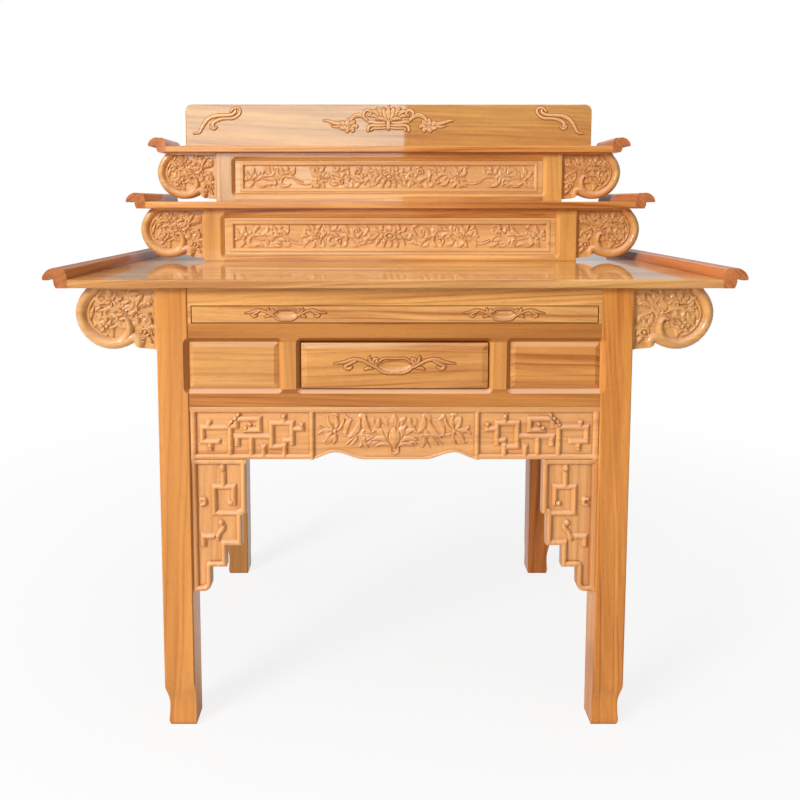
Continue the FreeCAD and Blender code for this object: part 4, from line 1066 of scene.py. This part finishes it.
def carve_wing(relief, height):
    """Flower spray and leaves of the main left wing, inside its rolled rim."""
    for points in ([(-492, 798, 2.6), (-505, 803, 2.4), (-520, 808, 2.2), (-538, 812, 1.8)],
                   [(-494, 797, 2.4), (-505, 792, 2.2), (-518, 783, 2.0), (-528, 774, 1.8)],
                   [(-492, 799, 2.6), (-498, 810, 2.4), (-508, 820, 2.2)],
                   [(-490, 796, 2.4), (-480, 802, 2.8), (-470, 812, 2.8), (-456, 815, 2.4)]):
        relief.stroke(points, height * 0.85)
    # upper flower
    relief.petals((-521, 821), [
        ((-540, 828), 5.2, 0.1), ((-528, 834), 5.2, 0.05), ((-514, 834), 5.2, -0.05),
        ((-503, 828), 5.2, -0.1), ((-538, 818), 4.8, -0.1), ((-504, 817), 4.8, 0.1)], height, 1.0, 0.5)
    relief.blossom(-521, 821, 9, 5, 54, height * 1.2)
    # leaves and buds
    relief.leaves([
        ((-540, 812), (-556, 812), 5.0, 0.15, 1.0), ((-541, 813), (-551, 821), 4.2, 0.1, 0.9),
        ((-541, 811), (-551, 803), 4.2, -0.1, 1.1), ((-502, 803), (-540, 804), 5.2, -0.14, 1.0),
        ((-500, 799), (-534, 795), 4.6, 0.12, 0.9), ((-500, 810), (-487, 823), 4.6, 0.2, 1.0),
        ((-498, 806), (-478, 824), 4.6, -0.25, 1.0), ((-510, 790), (-524, 796), 4.4, -0.2, 0.9),
        ((-508, 792), (-508, 774), 4.6, 0.2, 0.9)], height, 1.0, 0.25)
    # lower flower
    relief.petals((-531, 775), [
        ((-545, 778), 4.8, 0.1), ((-541, 767), 4.8, 0.1), ((-526, 765), 4.8, -0.05),
        ((-518, 774), 4.8, -0.1), ((-536, 785), 4.8, 0.05), ((-523, 785), 4.4, 0.0)], height, 1.0, 0.5)
    relief.knob(-531, 775, 4.2, height * 1.15)
    # strip of leaves beside the post
    relief.leaves([
        ((-474, 806), (-462, 834), 5.2, 0.18, 1.0), ((-468, 810), (-448, 834), 4.8, -0.15, 1.0),
        ((-472, 812), (-448, 815), 4.6, 0.2, 1.1), ((-474, 804), (-450, 800), 4.8, -0.2, 1.0),
        ((-474, 800), (-464, 776), 5.2, -0.2, 1.0), ((-468, 798), (-448, 780), 5.0, 0.2, 1.0),
        ((-470, 784), (-470, 762), 4.6, 0.2, 0.9), ((-452, 776), (-446, 758), 4.4, -0.15, 0.9),
        ((-470, 756), (-448, 744), 4.6, 0.2, 1.0)], height, 1.0)
    relief.scroll(-459, 763, 8, 120, -0.95, 3.2, height)
    relief.scroll(-466, 747, 6, 60, 0.8, 2.6, height * 0.9)


# Carved pieces, measured in millimetres

def front_of(node):
    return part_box(node)[0][1] / MM


def back_of(node):
    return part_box(node)[1][1] / MM


def top_of(node):
    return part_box(node)[1][2] / MM


# Carved fields reach this far past the edges that they are cut to or that hide them
SPARE = 1.0
LEG_INSIDE = -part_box("front_left_leg")[1][0] / MM
LEG_OUTSIDE = -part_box("front_left_leg")[0][0] / MM
APRON_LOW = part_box("front_apron")[0][2] / MM
APRON_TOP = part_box("front_lower_rail")[0][2] / MM
APRON_RECESS = 4.0
# Upright bead between the fretwork and the middle field, and the edges of that field
APRON_DIVIDER = -154.0
DIVIDER_WIDTH = 9.2
LOTUS_LEFT, LOTUS_LOW, LOTUS_TOP = -146.0, APRON_LOW + 22.0, APRON_TOP - 16.0
# Places and heights along the lower edge of the apron's left hump
HUMP = [(-153.0, 0.0), (-146.0, 1.8), (-138.0, 4.8), (-128.0, 9.2), (-119.0, 12.2), (-111.5, 13.4),
        (-102.5, 12.4), (-92.0, 9.6), (-82.0, 6.0), (-71.5, 2.4), (-64.0, 0.6), (-56.0, 0.0)]


def apron_hump(x):
    """How far the apron's lower edge rises."""
    hump_x, hump_z = smooth_run([(place, rise, 1.0) for place, rise in HUMP])[:, :2].T
    return np.interp(-np.abs(x), hump_x, hump_z, 0.0, 0.0)


def apron_rise(x, z):
    """How far places of the apron rise with its lower edge; the upper edge stays straight."""
    return apron_hump(x) * (APRON_TOP - z) / (APRON_TOP - APRON_LOW)


class ALTAR_OT_carve_apron(bpy.types.Operator):
    """Carves the apron: beads, fretwork at both sides and a lotus spray in the middle"""
    bl_idname = "altar.carve_apron"
    bl_label = "Carve the Apron"

    def execute(self, context):
        depths = context.scene.altar_carving
        half = LEG_INSIDE + SPARE
        relief = Relief(-half, half, APRON_LOW, APRON_TOP, mirrored=True)
        lotus = depths.lotus_depth / MM
        carve_apron_fret(relief, depths.fret_depth / MM)
        carve_apron_lotus(relief, lotus)
        field = (relief.x > LOTUS_LEFT) & (relief.z > LOTUS_LOW) & (relief.z < LOTUS_TOP)
        relief.strew(field, count=12, size=15.0, height=lotus * 0.8, seed=5)
        bead = depths.bead_depth / MM
        middle = relief.x > APRON_DIVIDER
        relief.bead(relief.z - (APRON_LOW + apron_hump(relief.x)), np.where(middle, 5.0, 10.5),
                    np.where(middle, bead * 0.45, bead * 0.9), foot=1.5)
        relief.bead(APRON_TOP - relief.z, 12.5, bead, foot=4.5)
        relief.bead(relief.x + LEG_INSIDE, 11.0, bead * 0.95, foot=4.5)
        beside = np.abs(relief.x - APRON_DIVIDER) + DIVIDER_WIDTH / 2
        relief.bead(beside, DIVIDER_WIDTH, bead * 0.9, foot=bead * 0.9)
        relief.darken()
        ground = front_of("front_apron") + APRON_RECESS
        piece = carved_block("carved_apron", relief, ground, back_of("front_apron"), rise=apron_rise)
        settle(piece, "front_apron")
        return {"FINISHED"}


# Width and height of each step, from the top one down, and the rounding of the lowest corner
BRACKET_STEPS = ((102.0, 105.0), (93.0, 62.0), (63.5, 41.5), (34.0, 48.5))
BRACKET_TOE = 16.0
BRACKET_RECESS = 4.0
QUARTER_ROUND = math.tan(math.pi / 8) / 2


def bracket_outline():
    """Stepped outline of the left bracket, from its upper corner at the leg."""
    outline = [(-LEG_INSIDE, APRON_LOW, 0.0)]
    level = APRON_LOW
    for width, height in BRACKET_STEPS:
        outline += [(width - LEG_INSIDE, level, 0.0), (width - LEG_INSIDE, level - height, 0.0)]
        level -= height
    right = outline.pop()[0]
    outline += [(right, level + BRACKET_TOE, QUARTER_ROUND), (right - BRACKET_TOE, level, 0.0),
                (-LEG_INSIDE, level, 0.0)]
    return outline


class ALTAR_OT_carve_brackets(bpy.types.Operator):
    """Carves the two stepped corner brackets with beads and fretwork"""
    bl_idname = "altar.carve_brackets"
    bl_label = "Carve the Brackets"

    def execute(self, context):
        depths = context.scene.altar_carving
        outline = bowed_run(bracket_outline())
        low = min(z for _, z in outline)
        inside = BRACKET_STEPS[0][0] - LEG_INSIDE
        relief = Relief(-LEG_INSIDE - SPARE, inside + SPARE, low - SPARE, APRON_LOW + SPARE)
        carve_bracket(relief, depths.fret_depth / MM)
        bead = depths.bead_depth / MM
        relief.bead(relief.x + LEG_INSIDE, 10.0, bead * 0.9, foot=bead * 0.8)
        relief.bead(APRON_LOW - relief.z, 11.0, bead, foot=3.0)
        relief.bead(distance_from(outline[1:], relief.x, relief.z), 10.5, bead, foot=1.5)
        relief.darken()
        ground = front_of("left_bracket") + BRACKET_RECESS
        piece = carved_block("carved_left_bracket", relief, ground, back_of("left_bracket"), outline=outline)
        other = copied(piece, "carved_right_bracket", mirrored=True)
        settle(piece, "left_bracket")
        settle(other, "right_bracket")
        return {"FINISHED"}


WING_TOP = top_of("main_left_wing")
WING_RECESS = 6.0
# Width of the rolled rim, and the place and half width of the thin bead inside it
WING_RIM = 19.0
WING_BEAD_PLACE, WING_BEAD_HALF = WING_RIM + 5.0, 2.4
# The rim runs along the outline as far as this from the leg, and the thin bead as far as this
RIM_START, WING_BEAD_START = 43.0, 92.0
# Plain bands along the top and beside the leg
TOP_BAND, LEG_BAND, LEG_BAND_HEIGHT = 6.0, 6.0, 3.5
# The strewn leaves stay this far from the rim and the leg, and between these depths below the top
LEAF_RIM_GAP, LEAF_LEG_GAP = 10.0, 9.0
LEAF_HIGHEST, LEAF_LOWEST = 11.0, 108.0
# Curl at the rim's inner end: places and half widths
WING_CURL = [(-520, 743.0, 9.5), (-506, 745.5, 9.5), (-495, 754, 9.0), (-489, 768, 8.0), (-490, 782, 6.5),
             (-496, 790, 5.0), (-503, 789, 3.6)]
# Distance out from the leg, height above the top and bow of the edge that follows
WING_EDGES = [(0.0, 0.0, 0.0), (124.0, 0.0, 0.115), (150.0, -50.0, 0.18), (92.0, -115.5, 0.09),
              (43.5, -104.0, 0.115), (20.0, -115.5, 0.0), (0.0, -117.0, 0.0)]


class ALTAR_OT_carve_wings(bpy.types.Operator):
    """Carves a scroll wing with a rolled rim and a flower spray, and copies it to all six places"""
    bl_idname = "altar.carve_wings"
    bl_label = "Carve the Wings"

    def execute(self, context):
        outline = bowed_run([(-LEG_OUTSIDE - out, WING_TOP + rise, -bow) for out, rise, bow in WING_EDGES])
        left = min(x for x, _ in outline) - SPARE
        low = min(z for _, z in outline) - SPARE
        relief = Relief(left, -LEG_OUTSIDE + SPARE, low, WING_TOP + SPARE)
        roll = context.scene.altar_carving.wing_depth / MM
        carve_wing(relief, roll * 0.66)
        scroll_edge = [(x, z) for x, z in outline if x < -LEG_OUTSIDE - RIM_START]
        away = distance_from(scroll_edge, relief.x, relief.z)
        field = (away > WING_RIM + LEAF_RIM_GAP) & (relief.x < -LEG_OUTSIDE - LEAF_LEG_GAP)
        field &= (relief.z < WING_TOP - LEAF_HIGHEST) & (relief.z > WING_TOP - LEAF_LOWEST)
        relief.strew(field, count=42, size=16.0, height=roll * 0.6, seed=3)
        share = np.abs(away - WING_RIM / 2) / (WING_RIM / 2)
        relief.raise_to(roll * (1 - share ** 2.3))
        share = np.abs(away - WING_BEAD_PLACE) / WING_BEAD_HALF
        outer = relief.x < -LEG_OUTSIDE - WING_BEAD_START
        relief.raise_to(np.where(outer, roll * 0.4 * (1 - share ** 2), 0.0))
        relief.stroke(WING_CURL, roll, crown=2.3, part=0.0)
        relief.raise_to(np.where(relief.z > WING_TOP - TOP_BAND, WING_RECESS, 0.0))
        relief.raise_to(np.where(relief.x > -LEG_OUTSIDE - LEG_BAND, LEG_BAND_HEIGHT, 0.0))
        relief.darken(1.1, 3.2)
        piece = carved_block("carved_main_left_wing", relief, front_of("main_left_wing") + WING_RECESS,
                             back_of("main_left_wing"), outline=outline)

        wings = [(piece, "main_left_wing")]
        for level in ("lower", "upper"):
            node = level + "_left_wing"
            move = (0.0, front_of(node) - front_of("main_left_wing"), top_of(node) - WING_TOP)
            wings.append((copied(piece, "carved_" + node, move=move), node))
        for wing, node in list(wings):
            other = node.replace("left", "right")
            wings.append((copied(wing, "carved_" + other, mirrored=True), other))
        for wing, node in wings:
            settle(wing, node)
        return {"FINISHED"}


# Half length of the carved fields, and the height of each one's middle line with half its width
TIER_FIELD = 369.5
TIER_HALVES = {"lower": (923.5, 28.8), "upper": (1067.5, 29.8)}
# Depth of the floor below the panel's face, and width and height of the bead round the field
TIER_FLOOR = 5.0
TIER_BEAD, TIER_BEAD_HEIGHT = 8.5, 1.4
# What lies past the bead is hidden this far below the face
TIER_SUNK = 0.6
TIER_BACK = 2.0
# Part of the field that is left plain, and how far the strewn leaves stay from its long edges and its ends
PLAIN_LEFT, PLAIN_RIGHT = -238.0, -202.0
LEAF_EDGE_GAP, LEAF_END_GAP = 6.0, 8.0
# Flat strip along the field's edge, and the slope of the carving from there
EDGE_FLAT, EDGE_SLOPE = 0.5, 1.6
# Painted shadow along the field's edge and painted shade along the bead's outer foot: how dark, and how far
# each reaches
EDGE_DARK, EDGE_REACH = 0.8, 1.7
FOOT_DARK, FOOT_REACH = 0.7, 0.9


class ALTAR_OT_carve_tier_panels(bpy.types.Operator):
    """Carves the row of flowers and leaves in the field of each tier panel"""
    bl_idname = "altar.carve_tier_panels"
    bl_label = "Carve the Tier Panels"

    def execute(self, context):
        depth = context.scene.altar_carving.tier_depth / MM
        for level, (middle, half) in TIER_HALVES.items():
            node = level + "_tier_panel"
            reach, rise = TIER_FIELD + TIER_BEAD + SPARE, half + TIER_BEAD + SPARE
            relief = Relief(-reach, reach, middle - rise, middle + rise, mirrored=True)
            relief.z = relief.z - middle
            carve_tier(relief, depth)
            plain = (relief.x > PLAIN_LEFT) & (relief.x < PLAIN_RIGHT)
            bare = (np.abs(relief.z) < half - LEAF_EDGE_GAP) & (relief.x > LEAF_END_GAP - TIER_FIELD) & ~plain
            relief.strew(bare, count=44, size=17.0, height=depth, seed=11)
            within = np.minimum(relief.x + TIER_FIELD, half - np.abs(relief.z))
            relief.height = np.minimum(relief.height, np.maximum(within - EDGE_FLAT, 0.0) * EDGE_SLOPE)
            relief.darken()
            # Painted shadow along the field's sunk edge
            edge = EDGE_DARK * np.exp(-np.maximum(within, 0.0) / EDGE_REACH)
            relief.hollow = np.maximum(relief.hollow, edge)
            rounded = np.sqrt(np.clip(1 - (-2 * within / TIER_BEAD - 1) ** 2, 0, 1))
            bead = TIER_FLOOR + np.where(within > -TIER_BEAD, TIER_BEAD_HEIGHT * rounded, -TIER_SUNK)
            relief.height = np.where(within < 0, bead, relief.height)
            # Painted shade at the bead's outer foot
            foot = FOOT_DARK * np.exp(-np.abs(within + TIER_BEAD) / FOOT_REACH)
            relief.hollow = np.where(within < 0, foot, relief.hollow)
            floor = front_of(node) + TIER_FLOOR
            name = "carved_" + level + "_tier_field"
            piece = carved_block(name, relief, floor, floor + TIER_BACK, lift=0.05)
            settle(piece, node, stands_for=False)
        return {"FINISHED"}


# Depth of the hidden ground between forms that stand on a flat face
BURIED = 0.7
# Fields of the back board's spray and its left tendril: left, right and lower edge
SPRAY_FIELD = (-180.0, 180.0, 1182.0)
TENDRIL_FIELD = (-516.0, -378.0, 1178.0)


class ALTAR_OT_carve_back_board(bpy.types.Operator):
    """Carves the lotus spray in the middle of the back board and a tendril at each upper corner"""
    bl_idname = "altar.carve_back_board"
    bl_label = "Carve the Back Board"

    def execute(self, context):
        depth = context.scene.altar_carving.board_depth / MM
        front, top = front_of("back_board"), top_of("back_board") - SPARE
        forms = []
        for name, field, mirrored, carve in (
                ("back_board_lotus", SPRAY_FIELD, True, carve_board_middle),
                ("back_board_left_tendril", TENDRIL_FIELD, False, carve_board_corner)):
            relief = Relief(*field, top, ground=-BURIED, mirrored=mirrored, crown=5.0)
            carve(relief, depth)
            relief.line_round()
            forms.append(raised_forms(name, relief, front, cover=0.8))
        forms.append(copied(forms[-1], "back_board_right_tendril", mirrored=True))
        for piece in forms:
            settle(piece, "back_board", stands_for=False)
        return {"FINISHED"}


# Left half of a finger pull's cusped mouth, from its upper to its lower edge, as shares of its half size
MOUTH = [(0.0, 0.86), (-0.55, 0.86), (-0.66, 0.5), (-0.78, 0.3), (-0.97, 0.06), (-0.86, -0.32), (-0.66, -0.7),
         (-0.38, -0.9), (0.0, -0.95)]
MOUTH_DEPTH = 4.2
# Finger pulls: node, body, height of the middle, size of the scrolls, half size of the mouth and of the field
DRAWER_PULL = ("drawer_front", "drawer", 703.0, 1.0, (32.0, 12.0), (118.0, 24.0))
SHELF_PULL = ("pull_out_shelf_front", "pull_out_shelf", 798.5, 0.66, (22.0, 9.0), (78.0, 13.6))
SHELF_PULL_PLACE = 200.0


class ALTAR_OT_carve_pulls(bpy.types.Operator):
    """Carves the leaf scrolls round the finger pulls of the drawer and the pull-out shelf"""
    bl_idname = "altar.carve_pulls"
    bl_label = "Carve the Pulls"

    def execute(self, context):
        depth = context.scene.altar_carving.pull_depth / MM
        for name, x, pull in (("drawer_pull_scrolls", 0.0, DRAWER_PULL),
                              ("shelf_left_pull_scrolls", -SHELF_PULL_PLACE, SHELF_PULL),
                              ("shelf_right_pull_scrolls", SHELF_PULL_PLACE, SHELF_PULL)):
            node, body, z, size, (half_width, half_height), (reach, rise) = pull
            relief = Relief(x - reach, x + reach, z - rise, z + rise, ground=-BURIED, crown=4.0)
            relief.x = -np.abs(relief.x - x)
            carve_pull(relief, z, size, depth * size ** 0.5, half_width, half_height)
            relief.line_round()
            mouth = [(side * half_width, z + up * half_height) for side, up in MOUTH]
            relief.scoop(mouth, MOUTH_DEPTH, z + half_height * 0.3)
            settle(raised_forms(name, relief, front_of(node), cover=1.0), node, body, stands_for=False)
        return {"FINISHED"}


# Studio

FLOOR_SIZE = 60.0
# Places of the lamps, and their widths and heights
LAMPS = {
    "window": ((-0.61, -3.0, 1.38), (1.6, 0.78)),
    "key": ((-3.4, -3.6, 2.9), (1.7, 1.7)),
    "fill": ((2.6, -2.8, 1.6), (2.4, 2.0)),
    "top": ((0.0, -0.4, 3.4), (2.6, 2.0)),
}
# Height on the table's middle line that the lamps point at
AIM_HEIGHT = 0.75
WINDOW_COLOUR = (0.66, 0.97, 1.0)
SENSOR_WIDTH = 36.0
# Ways to the left and right between which white surroundings show in the gloss, and how far they fade
WHITE_LEFT, WHITE_RIGHT, WHITE_FADE = -0.12, 0.18, 0.14
# The floor is all white past the far distance; near the table it is white to this share
FLOOR_NEAR, FLOOR_FAR, FLOOR_WHITE = 0.5, 2.2, 0.84
# Places on the floor, to the left and right, that are far from the table
FLOOR_ENDS = (-3.0, 3.0)


def seen_directly(tree, place, left_end, right_end):
    """1 for what the camera sees itself, and behind the table also for what a gloss or glass shows."""
    ray = add_node(tree, "LightPath").outputs
    way = add_node(tree, "SeparateXYZ", {0: place}).outputs
    behind = remapped(tree, way["Y"], -0.4, 0.1)
    for across in (remapped(tree, way["X"], left_end - WHITE_FADE, left_end, 0.15, 1.0),
                   remapped(tree, way["X"], right_end, right_end + WHITE_FADE, 1.0, 0.45)):
        behind = maths(tree, "MULTIPLY", behind, across)
    shown = maths(tree, "MAXIMUM", ray["Is Glossy Ray"], ray["Is Transmission Ray"])
    return maths(tree, "MAXIMUM", ray["Is Camera Ray"], maths(tree, "MULTIPLY", shown, behind))


def floor_material(settings):
    """Pale floor that keeps the table's shadow and fades to plain white further out."""
    material = bpy.data.materials.new("pale_floor")
    material.use_nodes = True
    tree = material.node_tree
    shader = tree.nodes["Principled BSDF"]
    feed(tree, shader, {"Base Color": (*settings.floor_colour, 1.0), "Roughness": 0.85})
    white = add_node(tree, "Emission", {"Strength": 1.0})
    place = add_node(tree, "TexCoord").outputs["Object"]
    distance = add_node(tree, "VectorMath", {0: place}, operation="LENGTH").outputs["Value"]
    share = remapped(tree, distance, FLOOR_NEAR, FLOOR_FAR, FLOOR_WHITE, 1.0)
    share = maths(tree, "MULTIPLY", share, seen_directly(tree, place, *FLOOR_ENDS))
    surface = add_node(tree, "MixShader", {0: share, 1: shader.outputs[0], 2: white.outputs[0]})
    feed(tree, tree.nodes["Material Output"], {"Surface": surface.outputs[0]})
    return material


def surround_with_light(scene):
    """White surroundings, which the camera sees brighter than they light the table."""
    world = bpy.data.worlds.new("studio_light")
    scene.world = world
    world.use_nodes = True
    tree = world.node_tree
    place = add_node(tree, "TexCoord").outputs["Generated"]
    seen = seen_directly(tree, place, WHITE_LEFT, WHITE_RIGHT)
    strength = remapped(tree, seen, 0.0, 1.0, scene.altar_stage.sky, 1.0)
    feed(tree, tree.nodes["Background"], {"Color": (1.0, 1.0, 1.0, 1.0), "Strength": strength})


def add_lamps(settings):
    for name, (place, size) in LAMPS.items():
        bpy.ops.object.light_add(type="AREA", location=place)
        lamp = bpy.context.object
        lamp.name = name + "_lamp"
        lamp.data.shape = "RECTANGLE"
        lamp.data.size, lamp.data.size_y = size
        lamp.data.energy = getattr(settings, name + "_power")
        aim = lamp.location.copy()
        aim.z -= AIM_HEIGHT
        lamp.rotation_euler = aim.to_track_quat("Z", "Y").to_euler()
        if name == "window":
            lamp.data.color = WINDOW_COLOUR
            lamp.visible_diffuse = False


class ALTAR_OT_set_stage(bpy.types.Operator):
    """Adds the floor, the soft lamps and the camera"""
    bl_idname = "altar.set_stage"
    bl_label = "Set the Stage"

    def execute(self, context):
        scene = context.scene
        settings = scene.altar_stage
        scene.view_settings.view_transform = "Standard"
        bpy.ops.object.select_all(action="DESELECT")
        bpy.ops.mesh.primitive_plane_add(size=FLOOR_SIZE, location=(0.0, 0.0, 0.0))
        floor = context.object
        floor.name = "floor"
        dress(floor, floor_material(settings))
        surround_with_light(scene)
        add_lamps(settings)
        bpy.ops.object.camera_add(location=settings.camera_place,
                                  rotation=(math.pi / 2 - settings.camera_pitch, 0.0, 0.0))
        camera = context.object
        camera.name = "camera"
        camera.data.sensor_width = SENSOR_WIDTH
        camera.data.lens = settings.lens
        camera.data.shift_x, camera.data.shift_y = settings.camera_shift
        scene.camera = camera
        return {"FINISHED"}


class ALTAR_PT_sidebar(bpy.types.Panel):
    """Steps that dress the table"""
    bl_idname = "ALTAR_PT_sidebar"
    bl_label = "Altar Table"
    bl_space_type = "VIEW_3D"
    bl_region_type = "UI"
    bl_category = "Altar Table"

    def draw(self, context):
        for step in STEPS:
            self.layout.operator(step.bl_idname)
        scene = context.scene
        for settings in (scene.altar_wood, scene.altar_carving, scene.altar_stage):
            box = self.layout.box()
            for name in settings.__annotations__:
                box.prop(settings, name)


STEPS = (ALTAR_OT_finish_wood, ALTAR_OT_carve_apron, ALTAR_OT_carve_brackets, ALTAR_OT_carve_wings,
         ALTAR_OT_carve_tier_panels, ALTAR_OT_carve_back_board, ALTAR_OT_carve_pulls, ALTAR_OT_set_stage)
SETTINGS = (AltarWoodSettings, AltarCarvingSettings, AltarStageSettings)


def register():
    for item in SETTINGS + STEPS + (ALTAR_PT_sidebar,):
        bpy.utils.register_class(item)
    bpy.types.Scene.altar_wood = bpy.props.PointerProperty(type=AltarWoodSettings)
    bpy.types.Scene.altar_carving = bpy.props.PointerProperty(type=AltarCarvingSettings)
    bpy.types.Scene.altar_stage = bpy.props.PointerProperty(type=AltarStageSettings)


def unregister():
    del bpy.types.Scene.altar_stage
    del bpy.types.Scene.altar_carving
    del bpy.types.Scene.altar_wood
    for item in reversed(SETTINGS + STEPS + (ALTAR_PT_sidebar,)):
        bpy.utils.unregister_class(item)


def main():
    register()
    bpy.ops.altar.finish_wood()
    bpy.ops.altar.carve_apron()
    bpy.ops.altar.carve_brackets()
    bpy.ops.altar.carve_wings()
    bpy.ops.altar.carve_tier_panels()
    bpy.ops.altar.carve_back_board()
    bpy.ops.altar.carve_pulls()
    bpy.ops.altar.set_stage()


if __name__ == "__main__":
    main()
